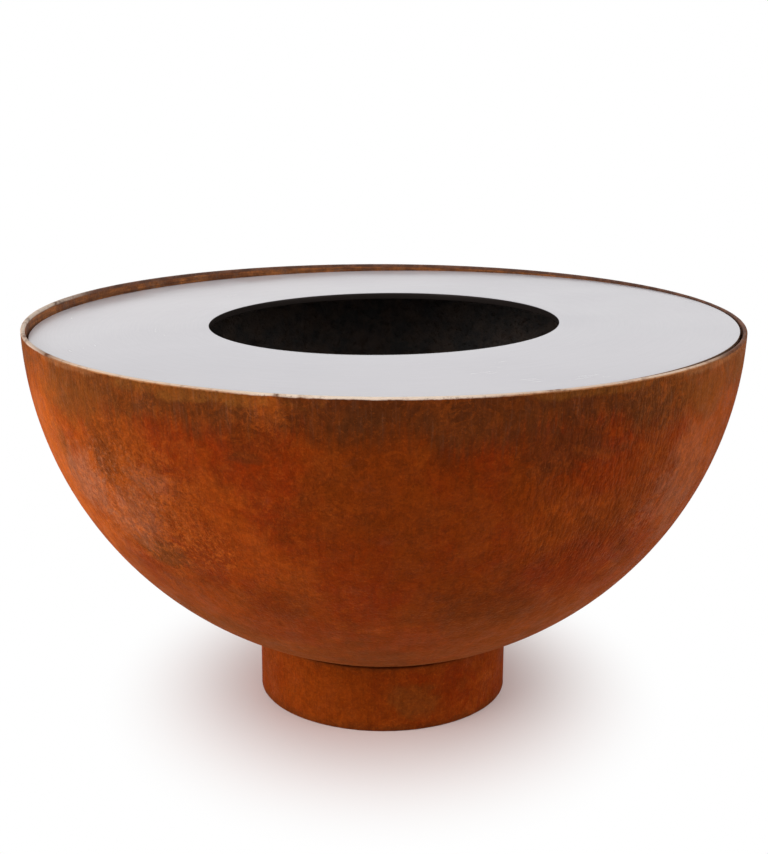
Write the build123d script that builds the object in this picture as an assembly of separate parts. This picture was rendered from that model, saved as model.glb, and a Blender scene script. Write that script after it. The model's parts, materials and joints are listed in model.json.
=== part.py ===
from build123d import *
from math import acos, asin, cos, radians, sin, sqrt, tan
import os

# Fire bowl on a base ring, with a ring-shaped plancha plate let into its lip.
# Millimetres, +Z up, front towards -Y, origin on the ground in the middle of the base ring.

# Fire bowl: a cap of a sphere, pressed from weathering steel
bowl_radius = 500.0
bowl_depth = 490.0
bowl_wall = 6.0
lip_break = 1.6
drain_hole_radius = 12.0

# Base ring: a strip rolled round, with a weld bead under the bowl on its inner side
ring_radius = 181.0
ring_height = 94.3
ring_wall = 8.0
ring_bead = 6.0
ring_notch_radius = 20.0
ring_seat_gap = 0.2

# Plancha plate: its top lies under the lip and leans a little, as its screws are set
plate_thickness = 10.0
plate_hole_radius = 246.0
plate_below_lip = 7.6
plate_edge_gap = 3.2
plate_edge_break = 1.0
plate_rise_right = 0.8
plate_rise_back = -0.35

# Plate supports: a pad on a gusset, welded to the wall of the bowl
support_count = 4
support_first_angle = 45.0
screw_from_plate_edge = 50.0
pad_width = 40.0
pad_corner_clip = 12.0
pad_thickness = 8.0
pad_below_plate = 32.0
gusset_thickness = 8.0
gusset_height = 62.0
gusset_nose = 8.0
gusset_nut_gap = 5.0
weld_gap = 0.2

# Levelling screws and their lock nuts, one to a pad
screw_radius = 6.0
screw_length = 60.0
screw_fit = 0.05
screw_travel = 8.0
hexagon_across_flats = 19.0
hexagon_edge_break = 1.5
head_height = 9.0
nut_height = 10.0
nut_gap = 0.3
plate_seat_gap = 0.3
plate_lift = 150.0

# Log grate: a hoop with square bars, which lifts out through the hole of the plate
grate_pass_gap = 26.0
hoop_height = 40.0
hoop_thickness = 6.0
bar_count = 7
bar_side = 12.0
cross_bar_height = 20.0
cross_bar_thickness = 8.0
cross_bar_offset = 100.0
leg_count = 4
leg_first_angle = 45.0
leg_side = 14.0
leg_below_hoop = 45.0
leg_weld_length = 20.0
grate_seat_gap = 0.3
grate_lift = 460.0

# Heights and radii that follow from the sizes above
ring_inner_radius = ring_radius - ring_wall
bowl_seat_radius = bowl_radius + ring_seat_gap
bowl_centre_height = ring_height + sqrt(bowl_seat_radius ** 2 - ring_inner_radius ** 2)
bowl_inner_radius = bowl_radius - bowl_wall
bowl_weld_radius = bowl_inner_radius - weld_gap
lip_height = bowl_centre_height - bowl_radius + bowl_depth


def reach_on_sphere(radius, height):
    """Distance from the upright axis to a sphere about the bowl's centre, at one height."""
    return sqrt(radius ** 2 - (bowl_centre_height - height) ** 2)


def height_on_sphere(radius, reach):
    """Height of the lower half of a sphere about the bowl's centre, at one reach."""
    return bowl_centre_height - sqrt(radius ** 2 - reach ** 2)


plate_top_height = lip_height - plate_below_lip
plate_radius = reach_on_sphere(bowl_inner_radius, plate_top_height - plate_thickness) - plate_edge_gap
slope_right = tan(radians(plate_rise_right))
slope_back = tan(radians(plate_rise_back))
screw_circle_radius = plate_radius - screw_from_plate_edge
plate_plane = Plane(origin=(0, 0, plate_top_height), z_dir=(-slope_right, -slope_back, 1))
pad_top_height = plate_top_height - plate_thickness - pad_below_plate
pad_underside = pad_top_height - pad_thickness

hoop_radius = plate_hole_radius - grate_pass_gap
hoop_inner_radius = hoop_radius - hoop_thickness
grate_inside = hoop_inner_radius - weld_gap
leg_outer_reach = sqrt(grate_inside ** 2 - (leg_side / 2) ** 2)
leg_foot_height = height_on_sphere(bowl_inner_radius, grate_inside) + grate_seat_gap
hoop_foot_height = leg_foot_height + leg_below_hoop
grate_top_height = hoop_foot_height + hoop_height
bar_height = grate_top_height - bar_side / 2
cross_bar_top = grate_top_height - bar_side - weld_gap


def plate_underside(x, y):
    """Height of the leaning plate's underside over one point of the ground."""
    lean = sqrt(1 + slope_right ** 2 + slope_back ** 2)
    return plate_top_height + x * slope_right + y * slope_back - plate_thickness * lean


def point_on_sphere(radius, angle):
    """Point of a sphere's section, at an angle up from its lowest point."""
    return (radius * sin(angle), bowl_centre_height - radius * cos(angle))


def sphere_arc(radius, first_angle, last_angle):
    """Arc of a sphere's section between two angles."""
    middle_angle = (first_angle + last_angle) / 2
    return ThreePointArc(
        point_on_sphere(radius, first_angle),
        point_on_sphere(radius, middle_angle),
        point_on_sphere(radius, last_angle),
    )


def turned(section):
    """Solid of a section drawn as (reach, height), turned about the upright axis."""
    return revolve(Plane.XZ * section, axis=Axis.Z)


def angles(count, first_angle):
    """Evenly spaced angles in degrees, counter-clockwise from the right-hand side."""
    return [first_angle + index * 360 / count for index in range(count)]


def make_fire_bowl():
    """Pressed bowl with the edges of its lip broken and a drain hole in its lowest point."""
    outer = sphere_arc(
        bowl_radius,
        asin(drain_hole_radius / bowl_radius),
        acos((bowl_centre_height - lip_height) / bowl_radius),
    )
    inner = sphere_arc(
        bowl_inner_radius,
        acos((bowl_centre_height - lip_height) / bowl_inner_radius),
        asin(drain_hole_radius / bowl_inner_radius),
    )
    lip = Line(outer @ 1, inner @ 0)
    drain = Line(inner @ 1, outer @ 0)
    section = make_face(outer + lip + inner + drain)
    lip_corners = section.vertices().sort_by(Axis.Y)[-2:]
    return turned(chamfer(lip_corners, lip_break))


def make_base_ring():
    """Rolled ring whose weld bead follows the bowl, with a drain notch at the back."""
    bead_reach = ring_inner_radius - ring_bead
    seat = sphere_arc(
        bowl_seat_radius,
        asin(ring_inner_radius / bowl_seat_radius),
        asin(bead_reach / bowl_seat_radius),
    )
    strip = Polyline(
        (ring_inner_radius, ring_height - ring_bead),
        (ring_inner_radius, 0),
        (ring_radius, 0),
        (ring_radius, ring_height),
        seat @ 0,
    )
    bead = Line(seat @ 1, strip @ 0)
    ring = turned(make_face(strip + seat + bead))
    notch = Rot(90, 0, 0) * Cylinder(ring_notch_radius, 2 * ring_radius)
    return ring - Pos(0, 2 * ring_radius, 0) * notch


def make_plancha_plate():
    """Ring-shaped cooking plate with broken edges, set on its leaning plane."""
    width = plate_radius - plate_hole_radius
    middle = (plate_radius + plate_hole_radius) / 2
    section = Pos(middle, -plate_thickness / 2) * Rectangle(width, plate_thickness)
    plate = turned(chamfer(section.vertices(), plate_edge_break))
    return plate_plane.location * plate


def make_support_pad():
    """Pad with clipped corners and the threaded hole of a levelling screw, on the +X side."""
    inner_reach = screw_circle_radius - pad_width / 2
    length = bowl_radius - inner_reach
    bar = Pos(inner_reach + length / 2, 0) * Rectangle(length, pad_width)
    nose_corners = bar.vertices().sort_by(Axis.X)[:2]
    hole = Pos(screw_circle_radius, 0) * Circle(screw_radius + screw_fit)
    outline = chamfer(nose_corners, pad_corner_clip) - hole
    pad = extrude(Pos(0, 0, pad_underside) * outline, pad_thickness)
    return pad & Pos(0, 0, bowl_centre_height) * Sphere(bowl_weld_radius)


def make_support_gusset():
    """Three-sided rib under a pad, whose long edge follows the wall of the bowl."""
    top = pad_underside - weld_gap
    inner_reach = screw_circle_radius + hexagon_across_flats / sqrt(3) + gusset_nut_gap
    foot_height = top - gusset_height
    foot_reach = reach_on_sphere(bowl_weld_radius, foot_height)
    outline = Polyline(
        (inner_reach, top),
        (inner_reach, top - gusset_nose),
        (foot_reach, foot_height),
        (bowl_radius, foot_height),
        (bowl_radius, top),
        close=True,
    )
    rib = extrude(Plane.XZ * make_face(outline), gusset_thickness / 2, both=True)
    return rib & Pos(0, 0, bowl_centre_height) * Sphere(bowl_weld_radius)


def make_hexagon(height):
    """Hexagon of a nut or head, standing on the ground, with its upper edges broken."""
    prism = extrude(RegularPolygon(hexagon_across_flats / 2, 6, major_radius=False), height)
    return chamfer(prism.faces().sort_by(Axis.Z)[-1].edges(), hexagon_edge_break)


def make_levelling_screw(head_top):
    """Screw whose hexagon head carries the plate."""
    head_foot = head_top - head_height
    shank = Pos(0, 0, head_foot - screw_length / 2) * Cylinder(screw_radius, screw_length)
    return Pos(0, 0, head_foot) * make_hexagon(head_height) + shank


def make_lock_nut():
    """Hexagon nut that locks a levelling screw from under its pad."""
    bore = Pos(0, 0, nut_height / 2) * Cylinder(screw_radius + screw_fit, nut_height)
    return Pos(0, 0, pad_underside - nut_gap - nut_height) * (make_hexagon(nut_height) - bore)


def make_grate_hoop():
    """Hoop of the log grate, rolled from flat bar."""
    section = Circle(hoop_radius) - Circle(hoop_inner_radius)
    return extrude(Pos(0, 0, hoop_foot_height) * section, hoop_height)


def inside_hoop(bar):
    """Cut a bar to the length that fits inside the hoop."""
    return bar & Pos(0, 0, grate_top_height) * Cylinder(grate_inside, 4 * hoop_height)


def make_grate_bar(offset):
    """Square bar across the hoop from front to back."""
    bar = Box(bar_side, 2 * hoop_radius, bar_side)
    return inside_hoop(Pos(offset, 0, bar_height) * bar)


def make_cross_bar(offset):
    """Flat bar on edge that carries the square bars from side to side."""
    bar = Box(2 * hoop_radius, cross_bar_thickness, cross_bar_height)
    return inside_hoop(Pos(0, offset, cross_bar_top - cross_bar_height / 2) * bar)


def make_grate_leg():
    """Square leg inside the hoop on the +X side, standing on the bowl's curved floor."""
    length = leg_below_hoop + leg_weld_length
    leg_centre = (leg_outer_reach - leg_side / 2, 0, leg_foot_height + length / 2)
    return Pos(leg_centre) * Box(leg_side, leg_side, length)


def make_supports():
    """Pads, gussets, levelling screws and lock nuts, numbered counter-clockwise."""
    pieces = {}
    for index, angle in enumerate(angles(support_count, support_first_angle), start=1):
        x = screw_circle_radius * cos(radians(angle))
        y = screw_circle_radius * sin(radians(angle))
        screw = make_levelling_screw(plate_underside(x, y) - plate_seat_gap)
        pieces[f"support_pad_{index}"] = Rot(0, 0, angle) * make_support_pad()
        pieces[f"support_gusset_{index}"] = Rot(0, 0, angle) * make_support_gusset()
        pieces[f"levelling_screw_{index}"] = Pos(x, y, 0) * Rot(0, 0, angle) * screw
        pieces[f"lock_nut_{index}"] = Pos(x, y, 0) * Rot(0, 0, angle) * make_lock_nut()
    return pieces


def make_log_grate():
    """Hoop, bars, cross bars and legs of the log grate."""
    pieces = {"grate_hoop": make_grate_hoop()}
    bar_pitch = 2 * hoop_inner_radius / (bar_count + 1)
    for index in range(1, bar_count + 1):
        pieces[f"grate_bar_{index}"] = make_grate_bar(index * bar_pitch - hoop_inner_radius)
    pieces["grate_cross_bar_front"] = make_cross_bar(-cross_bar_offset)
    pieces["grate_cross_bar_back"] = make_cross_bar(cross_bar_offset)
    for index, angle in enumerate(angles(leg_count, leg_first_angle), start=1):
        pieces[f"grate_leg_{index}"] = Rot(0, 0, angle) * make_grate_leg()
    return pieces


parts = {
    "fire_bowl": make_fire_bowl(),
    "base_ring": make_base_ring(),
    "plancha_plate": make_plancha_plate(),
}
parts.update(make_supports())
parts.update(make_log_grate())

os.makedirs("parts", exist_ok=True)
for name, shape in parts.items():
    shape.label = name
    export_step(shape, f"parts/{name}.step")
print(len(parts), "pieces, lip", round(lip_height, 2), "plate radius", round(plate_radius, 2))
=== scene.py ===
"""Dress the packed fire pit with its plancha plate, and light it for its pictures.

The object is in metres, in the frame of the solids: +Z up along the bowl's axis and the front
towards -Y. Its origin is on the ground, in the middle of the base ring's foot.
"""
import json
import logging
import math
from collections.abc import Callable
from dataclasses import dataclass, replace
from enum import Enum

import bpy
from mathutils import Matrix, Vector


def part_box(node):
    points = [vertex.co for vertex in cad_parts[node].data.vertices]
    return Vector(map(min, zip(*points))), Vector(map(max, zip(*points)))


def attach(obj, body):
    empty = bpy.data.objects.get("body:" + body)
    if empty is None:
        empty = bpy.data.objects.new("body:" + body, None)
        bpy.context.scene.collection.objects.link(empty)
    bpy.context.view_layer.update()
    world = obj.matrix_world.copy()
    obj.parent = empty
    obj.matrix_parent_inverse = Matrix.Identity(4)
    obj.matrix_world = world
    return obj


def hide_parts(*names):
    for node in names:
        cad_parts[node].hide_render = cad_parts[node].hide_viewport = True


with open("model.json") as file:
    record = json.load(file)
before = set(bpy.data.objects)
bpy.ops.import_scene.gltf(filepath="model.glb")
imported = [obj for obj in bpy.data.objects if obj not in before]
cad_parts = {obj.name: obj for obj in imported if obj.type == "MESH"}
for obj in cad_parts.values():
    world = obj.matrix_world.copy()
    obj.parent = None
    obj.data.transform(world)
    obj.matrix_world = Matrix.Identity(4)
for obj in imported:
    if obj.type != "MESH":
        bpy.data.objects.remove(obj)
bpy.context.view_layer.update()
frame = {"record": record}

log = logging.getLogger("fire_pit")

Colour = tuple[float, float, float]
Point = tuple[float, float]
Route = Callable[[float], Vector]

MM = 0.001
SUPPORT_COUNT = 4

# How far bowl and plate stay inside the boxes of their solids
INSET = 0.1 * MM


class Body(Enum):
    """Bodies of the packed model that pieces ride on."""

    BOWL = "bowl_and_base"
    PLATE = "plate"
    GRATE = "grate"
    SCREW = "screw_{}"


# Geometry helpers, each a short run of Blender's own operators


class Bench:
    """Workbench that starts, shapes and finishes meshes with operators."""

    @staticmethod
    def clear() -> None:
        """Leave edit mode and deselect every object."""
        if bpy.context.mode != "OBJECT":
            bpy.ops.object.mode_set(mode="OBJECT")
        bpy.ops.object.select_all(action="DESELECT")

    @staticmethod
    def take(piece: bpy.types.Object) -> None:
        """Select one object alone and make it active.

        Args:
            piece: The object to work on.
        """
        Bench.clear()
        piece.select_set(True)
        bpy.context.view_layer.objects.active = piece

    @staticmethod
    def named(name: str) -> bpy.types.Object:
        """Name the active object and its mesh, and settle its place in its mesh.

        Args:
            name: Name of the piece.

        Returns:
            The active object.
        """
        piece = bpy.context.object
        piece.name = name
        piece.data.name = name
        bpy.ops.object.transform_apply(location=True, rotation=True, scale=True)
        return piece

    @staticmethod
    def chain(name: str, places: list[Vector], closed: bool = True) -> bpy.types.Object:
        """Draw a row of single edges by extruding one point.

        Args:
            name: Name of the piece.
            places: Corners of the row.
            closed: Whether the last corner is joined to the first.

        Returns:
            The object, in edit mode with all of it selected.
        """
        Bench.clear()
        bpy.ops.mesh.primitive_plane_add(size=MM, location=places[0])
        piece = Bench.named(name)
        bpy.ops.object.mode_set(mode="EDIT")
        bpy.ops.mesh.select_all(action="SELECT")
        bpy.ops.mesh.merge(type="CENTER")
        for here, there in zip(places, places[1:] + places[:int(closed)]):
            bpy.ops.mesh.extrude_region_move(TRANSFORM_OT_translate={"value": there - here})
        bpy.ops.mesh.select_all(action="SELECT")
        bpy.ops.mesh.remove_doubles(threshold=0.01 * MM)
        return piece

    @staticmethod
    def spun(name: str, points: list[Point], steps: int, closed: bool = True) -> bpy.types.Object:
        """Spin a section about the upright axis into a closed body.

        Args:
            name: Name of the piece.
            points: Corners of the section as (reach, height).
            steps: Number of steps round.
            closed: Whether the section is a closed one clear of the axis; an open one starts and
                ends on the axis.

        Returns:
            The finished object, in object mode.
        """
        piece = Bench.chain(name, [Vector((reach, 0.0, height)) for reach, height in points], closed)
        bpy.ops.mesh.spin(steps=steps, angle=math.tau, center=(0, 0, 0), axis=(0, 0, 1))
        bpy.ops.mesh.select_all(action="SELECT")
        bpy.ops.mesh.remove_doubles(threshold=0.01 * MM)
        bpy.ops.mesh.normals_make_consistent(inside=False)
        bpy.ops.object.mode_set(mode="OBJECT")
        return piece

    @staticmethod
    def slab(name: str, corners: list[Vector], push: Vector) -> bpy.types.Object:
        """Fill a flat outline and push it into a body.

        Args:
            name: Name of the piece.
            corners: Corners of the outline, in order.
            push: How far and which way the face is pushed.

        Returns:
            The finished object, in object mode.
        """
        piece = Bench.chain(name, corners)
        bpy.ops.mesh.edge_face_add()
        bpy.ops.mesh.extrude_region_move(TRANSFORM_OT_translate={"value": push})
        bpy.ops.mesh.select_all(action="SELECT")
        bpy.ops.mesh.normals_make_consistent(inside=False)
        bpy.ops.object.mode_set(mode="OBJECT")
        return piece

    @staticmethod
    def block(name: str, low: Vector, high: Vector) -> bpy.types.Object:
        """Add a bar between two corners.

        Args:
            name: Name of the piece.
            low: Its lowest corner.
            high: Its highest corner.

        Returns:
            The bar, to be cut and bevelled.
        """
        Bench.clear()
        bpy.ops.mesh.primitive_cube_add(size=1.0, location=(low + high) / 2, scale=high - low)
        return Bench.named(name)

    @staticmethod
    def drum(name: str, radius: float, low: Vector, high: Vector, sides: int = 64) -> bpy.types.Object:
        """Add a round drum along a line, for cutting.

        Args:
            name: Name of the piece.
            radius: Its radius.
            low: Middle of its one end.
            high: Middle of its other end.
            sides: Number of its sides.

        Returns:
            The drum.
        """
        Bench.clear()
        way = high - low
        turn = way.to_track_quat("Z", "Y").to_euler()
        bpy.ops.mesh.primitive_cylinder_add(vertices=sides, radius=radius, depth=way.length, rotation=turn,
                                            location=(low + high) / 2)
        return Bench.named(name)

    @staticmethod
    def tube(name: str, places: list[Vector], radius: float, swell: list[float]) -> bpy.types.Object:
        """Draw a round bead along a row of places.

        Args:
            name: Name of the piece.
            places: Points that the bead's middle follows.
            radius: Radius of the bead.
            swell: Share of that radius at each place.

        Returns:
            The bead as a mesh object.
        """
        Bench.clear()
        bpy.ops.curve.primitive_nurbs_path_add(location=(0, 0, 0))
        piece = bpy.context.object
        piece.name = name
        curve = piece.data
        curve.splines.clear()
        spline = curve.splines.new("POLY")
        spline.points.add(len(places) - 1)
        for point, place, share in zip(spline.points, places, swell):
            point.co = (*place, 1.0)
            point.radius = share
        curve.dimensions = "3D"
        curve.bevel_depth = radius
        curve.bevel_resolution = 2
        curve.use_fill_caps = True
        bpy.ops.object.convert(target="MESH")
        bead = Bench.named(name)
        Bench.tidy(bead)
        return bead

    @staticmethod
    def tidy(piece: bpy.types.Object) -> None:
        """Merge doubled points, drop faces without area and point the rest outwards.

        Args:
            piece: The mesh object.
        """
        Bench.take(piece)
        bpy.ops.object.mode_set(mode="EDIT")
        bpy.ops.mesh.select_all(action="SELECT")
        bpy.ops.mesh.remove_doubles(threshold=0.005 * MM)
        bpy.ops.mesh.dissolve_degenerate(threshold=0.005 * MM)
        bpy.ops.mesh.normals_make_consistent(inside=False)
        bpy.ops.object.mode_set(mode="OBJECT")

    @staticmethod
    def join(name: str, pieces: list[bpy.types.Object]) -> bpy.types.Object:
        """Put several meshes into one object.

        Args:
            name: Name of the whole.
            pieces: The objects, which are used up.

        Returns:
            The whole.
        """
        Bench.clear()
        for piece in pieces:
            piece.select_set(True)
        bpy.context.view_layer.objects.active = pieces[0]
        bpy.ops.object.join()
        return Bench.named(name)

    @staticmethod
    def bevel(piece: bpy.types.Object, width: float, segments: int = 2) -> None:
        """Round the edges of a piece.

        Args:
            piece: The mesh object.
            width: Width of the bevel.
            segments: Number of its faces.
        """
        Bench.take(piece)
        bpy.ops.object.mode_set(mode="EDIT")
        bpy.ops.mesh.select_all(action="SELECT")
        bpy.ops.mesh.dissolve_limited(angle_limit=math.radians(1.0))
        bpy.ops.object.mode_set(mode="OBJECT")
        soften = piece.modifiers.new("soften", "BEVEL")
        soften.width = width
        soften.segments = segments
        soften.limit_method = "ANGLE"
        soften.angle_limit = math.radians(28.0)
        bpy.ops.object.modifier_apply(modifier=soften.name)
        Bench.tidy(piece)

    @staticmethod
    def rough(piece: bpy.types.Object, grain: float, depth: float, middle: float = 0.5) -> None:
        """Push the surface in and out by a cloud pattern.

        Args:
            piece: The mesh object.
            grain: Size of the pattern.
            depth: Height from its lowest to its highest point.
            middle: Pattern value that stays where it is; 1 only pushes inwards.
        """
        Bench.take(piece)
        pattern = bpy.data.textures.new(f"{piece.name}_clouds", "CLOUDS")
        pattern.noise_scale = grain
        pattern.noise_depth = 3
        push = piece.modifiers.new("rough", "DISPLACE")
        push.texture = pattern
        push.texture_coords = "LOCAL"
        push.strength = depth
        push.mid_level = middle
        bpy.ops.object.modifier_apply(modifier=push.name)
        bpy.data.textures.remove(pattern)

    @staticmethod
    def combine(piece: bpy.types.Object, tool: bpy.types.Object, operation: str) -> None:
        """Join, cut or cross a piece with another one, which is used up.

        Args:
            piece: The mesh object that stays.
            tool: The mesh object that is used up.
            operation: UNION, DIFFERENCE or INTERSECT.
        """
        Bench.take(piece)
        cut = piece.modifiers.new("combine", "BOOLEAN")
        cut.object = tool
        cut.operation = operation
        cut.solver = "EXACT"
        bpy.ops.object.modifier_apply(modifier=cut.name)
        bpy.data.objects.remove(tool)
        Bench.tidy(piece)

    @staticmethod
    def copy(piece: bpy.types.Object, name: str, place: Matrix) -> bpy.types.Object:
        """Copy a piece with its own mesh and settle it at a place.

        Args:
            piece: The piece that is modelled once.
            name: Name of the copy.
            place: Where the copy goes.

        Returns:
            The copy.
        """
        Bench.take(piece)
        bpy.ops.object.duplicate(linked=False)
        copy = bpy.context.object
        copy.matrix_world = place
        return Bench.named(name)

    @staticmethod
    def settle(piece: bpy.types.Object, place: Matrix) -> None:
        """Move a piece and put its new place in its mesh.

        Args:
            piece: The piece.
            place: Where it goes.
        """
        Bench.take(piece)
        piece.matrix_world = place
        bpy.ops.object.transform_apply(location=True, rotation=True, scale=True)

    @staticmethod
    def smooth(piece: bpy.types.Object, angle: float = 35.0) -> None:
        """Shade a piece smoothly up to an angle between its faces.

        Args:
            piece: The mesh object.
            angle: Greatest smooth angle in degrees.
        """
        Bench.take(piece)
        bpy.ops.object.shade_smooth_by_angle(angle=math.radians(angle))


def arc(centre: Point, radius: float, first: float, last: float, count: int) -> list[Point]:
    """Points of an arc in the XZ plane.

    Args:
        centre: Centre as (reach, height).
        radius: Radius of the arc.
        first: First angle in degrees, from the outward direction up.
        last: Last angle in degrees.
        count: Number of points, both ends included.

    Returns:
        The points from first to last.
    """
    angles = [math.radians(first + (last - first) * index / (count - 1)) for index in range(count)]
    return [(centre[0] + radius * math.cos(a), centre[1] + radius * math.sin(a)) for a in angles]


# Shaders


class Wiring:
    """Adds and links the nodes of one material, node group or world."""

    def __init__(self, tree: bpy.types.NodeTree) -> None:
        """Take the node tree to work on.

        Args:
            tree: Node tree of a material, group or world.
        """
        self.tree = tree

    def add(self, kind: str, inputs: dict | None = None, **settings: object) -> bpy.types.Node:
        """Add a node and set it up.

        Args:
            kind: Blender's name of the node type, without ShaderNode.
            inputs: Values or sockets for its inputs, by name or number.
            **settings: Attributes of the node.

        Returns:
            The node.
        """
        node = self.tree.nodes.new(f"ShaderNode{kind}")
        for key, value in settings.items():
            setattr(node, key, value)
        for key, value in (inputs or {}).items():
            self.feed(node.inputs[key], value)
        return node

    def feed(self, socket: bpy.types.NodeSocket, value: object) -> None:
        """Link a socket to another, or set its value.

        Args:
            socket: The input to feed.
            value: A socket, a number or a colour.
        """
        if isinstance(value, bpy.types.NodeSocket):
            self.tree.links.new(value, socket)
        elif socket.type == "RGBA" and len(value) == 3:
            socket.default_value = (*value, 1.0)
        else:
            socket.default_value = value

    def maths(self, operation: str, first: object, second: object = 0.0) -> bpy.types.NodeSocket:
        """Work out one number from two.

        Args:
            operation: Blender's name of the operation.
            first: First number or socket.
            second: Second number or socket.

        Returns:
            The result.
        """
        return self.add("Math", {0: first, 1: second}, operation=operation).outputs[0]

    def times(self, first: object, second: object) -> bpy.types.NodeSocket:
        """Multiply two numbers or sockets."""
        return self.maths("MULTIPLY", first, second)

    def vector(self, operation: str, first: object, second: object) -> bpy.types.NodeSocket:
        """Work out one vector from two.

        Args:
            operation: Blender's name of the operation.
            first: First vector or socket.
            second: Second vector or socket.

        Returns:
            The result.
        """
        return self.add("VectorMath", {0: first, 1: second}, operation=operation).outputs[0]

    def place(self) -> bpy.types.NodeSocket:
        """Place on the object, in metres."""
        return self.add("TexCoord").outputs["Object"]

    def height(self, place: bpy.types.NodeSocket) -> bpy.types.NodeSocket:
        """Upright part of a place or a direction."""
        return self.add("SeparateXYZ", {0: place}).outputs["Z"]

    def level(self, stretch: Colour = (1.0, 1.0, 0.0)) -> tuple[bpy.types.NodeSocket, bpy.types.NodeSocket]:
        """Read the place on the object as seen from above.

        Args:
            stretch: Stretch along each axis.

        Returns:
            The place and its distance from the upright axis.
        """
        flat = self.vector("MULTIPLY", self.place(), stretch)
        return flat, self.add("VectorMath", {0: flat}, operation="LENGTH").outputs["Value"]

    def shifted(self, seed: bpy.types.NodeSocket) -> bpy.types.NodeSocket:
        """Place on the object, moved by a seed along each axis."""
        shift = self.add("CombineXYZ", {0: seed, 1: seed, 2: seed}).outputs[0]
        return self.vector("ADD", self.place(), shift)

    def scaled(self, vector: object, factor: object) -> bpy.types.NodeSocket:
        """Multiply a vector or a colour by one factor."""
        return self.add("VectorMath", {0: vector, "Scale": factor}, operation="SCALE").outputs[0]

    def shaded(self, tone: bpy.types.NodeSocket, mask: object, low: object,
               high: object) -> bpy.types.NodeSocket:
        """Darken and lighten a colour by a mask.

        Args:
            tone: The colour.
            mask: The mask.
            low: Factor where the mask is 0.
            high: Factor where the mask is 1.

        Returns:
            The colour.
        """
        return self.scaled(tone, self.between(mask, 0.0, 1.0, low, high))

    def bumped(self, shader: bpy.types.Node, height: object, distance: float, strength: float = 1.0) -> None:
        """Give a shader its bumps.

        Args:
            shader: The Principled shader.
            height: Height of the bumps, as a share of the distance.
            distance: The distance, in metres.
            strength: How strongly they show.
        """
        bump = self.add("Bump", {"Height": height, "Distance": distance, "Strength": strength})
        self.feed(shader.inputs["Normal"], bump.outputs[0])

    def background_rays(self) -> bpy.types.NodeSocket:
        """Rays that show the surroundings: seen straight, in a reflection or through glass.

        Returns:
            1 for such a ray and 0 for any other.
        """
        path = self.add("LightPath").outputs
        direct = self.maths("MAXIMUM", path["Is Camera Ray"], path["Is Glossy Ray"])
        return self.maths("MAXIMUM", direct, path["Is Transmission Ray"])

    def blend(self, share: object, base: object, top: object) -> bpy.types.NodeSocket:
        """Lay one colour over another.

        Args:
            share: How much of the top colour shows.
            base: The colour below.
            top: The colour above.

        Returns:
            The mixed colour.
        """
        node = self.add("Mix", data_type="RGBA", clamp_factor=True)
        self.feed(node.inputs["Factor"], share)
        self.feed(node.inputs[6], base)
        self.feed(node.inputs[7], top)
        return node.outputs[2]

    def between(self, value: object, low: object, high: object, bottom: object = 0.0,
                top: object = 1.0) -> bpy.types.NodeSocket:
        """Turn a range of values softly into another one.

        Args:
            value: The number to read.
            low: Value that gives the bottom.
            high: Value that gives the top.
            bottom: Result at low.
            top: Result at high.

        Returns:
            The result.
        """
        ends = {"Value": value, "From Min": low, "From Max": high, "To Min": bottom, "To Max": top}
        return self.add("MapRange", ends, interpolation_type="SMOOTHSTEP").outputs[0]

    def noise(self, place: object, scale: object, detail: object = 4.0, roughness: object = 0.55,
              twist: object = 0.0) -> bpy.types.NodeSocket:
        """Read a cloud pattern.

        Args:
            place: Where to read it.
            scale: How many of its features fit a metre.
            detail: Number of finer layers.
            roughness: Weight of the finer layers.
            twist: How much the pattern is swirled.

        Returns:
            The pattern's value.
        """
        knobs = {
            "Vector": place,
            "Scale": scale,
            "Detail": detail,
            "Roughness": roughness,
            "Distortion": twist,
        }
        return self.add("TexNoise", knobs).outputs["Fac"]


def effect(name: str, **inputs: float | Colour) -> Callable:
    """Keep what a function wires as a node group, made the first time that it is asked for.

    Args:
        name: Name of the group.
        **inputs: Default values of its inputs; three numbers make a vector.

    Returns:
        Decorator for the function that wires the group. The decorated function takes the wiring
        to place the group in and values or sockets for its inputs, and returns its output.
    """

    def made(fill: Callable) -> bpy.types.NodeTree:
        """Make the group and let the function wire it."""
        tree = bpy.data.node_groups.new(name, "ShaderNodeTree")
        for key, value in inputs.items():
            kind = "NodeSocketFloat" if isinstance(value, float) else "NodeSocketVector"
            tree.interface.new_socket(key, in_out="INPUT", socket_type=kind).default_value = value
        tree.interface.new_socket("Value", in_out="OUTPUT", socket_type="NodeSocketFloat")
        start = tree.nodes.new("NodeGroupInput")
        end = tree.nodes.new("NodeGroupOutput")
        wires = Wiring(tree)
        wires.feed(end.inputs[0], fill(wires, {socket.name: socket for socket in start.outputs}))
        return tree

    def decorate(fill: Callable) -> Callable:
        """Turn the function that wires the group into one that places it."""

        def placed(wires: Wiring, **values: object) -> bpy.types.NodeSocket:
            """Place the group, feed it and return its output."""
            tree = bpy.data.node_groups.get(name) or made(fill)
            return wires.add("Group", values, node_tree=tree).outputs[0]

        placed.__doc__ = fill.__doc__
        return placed

    return decorate


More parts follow.
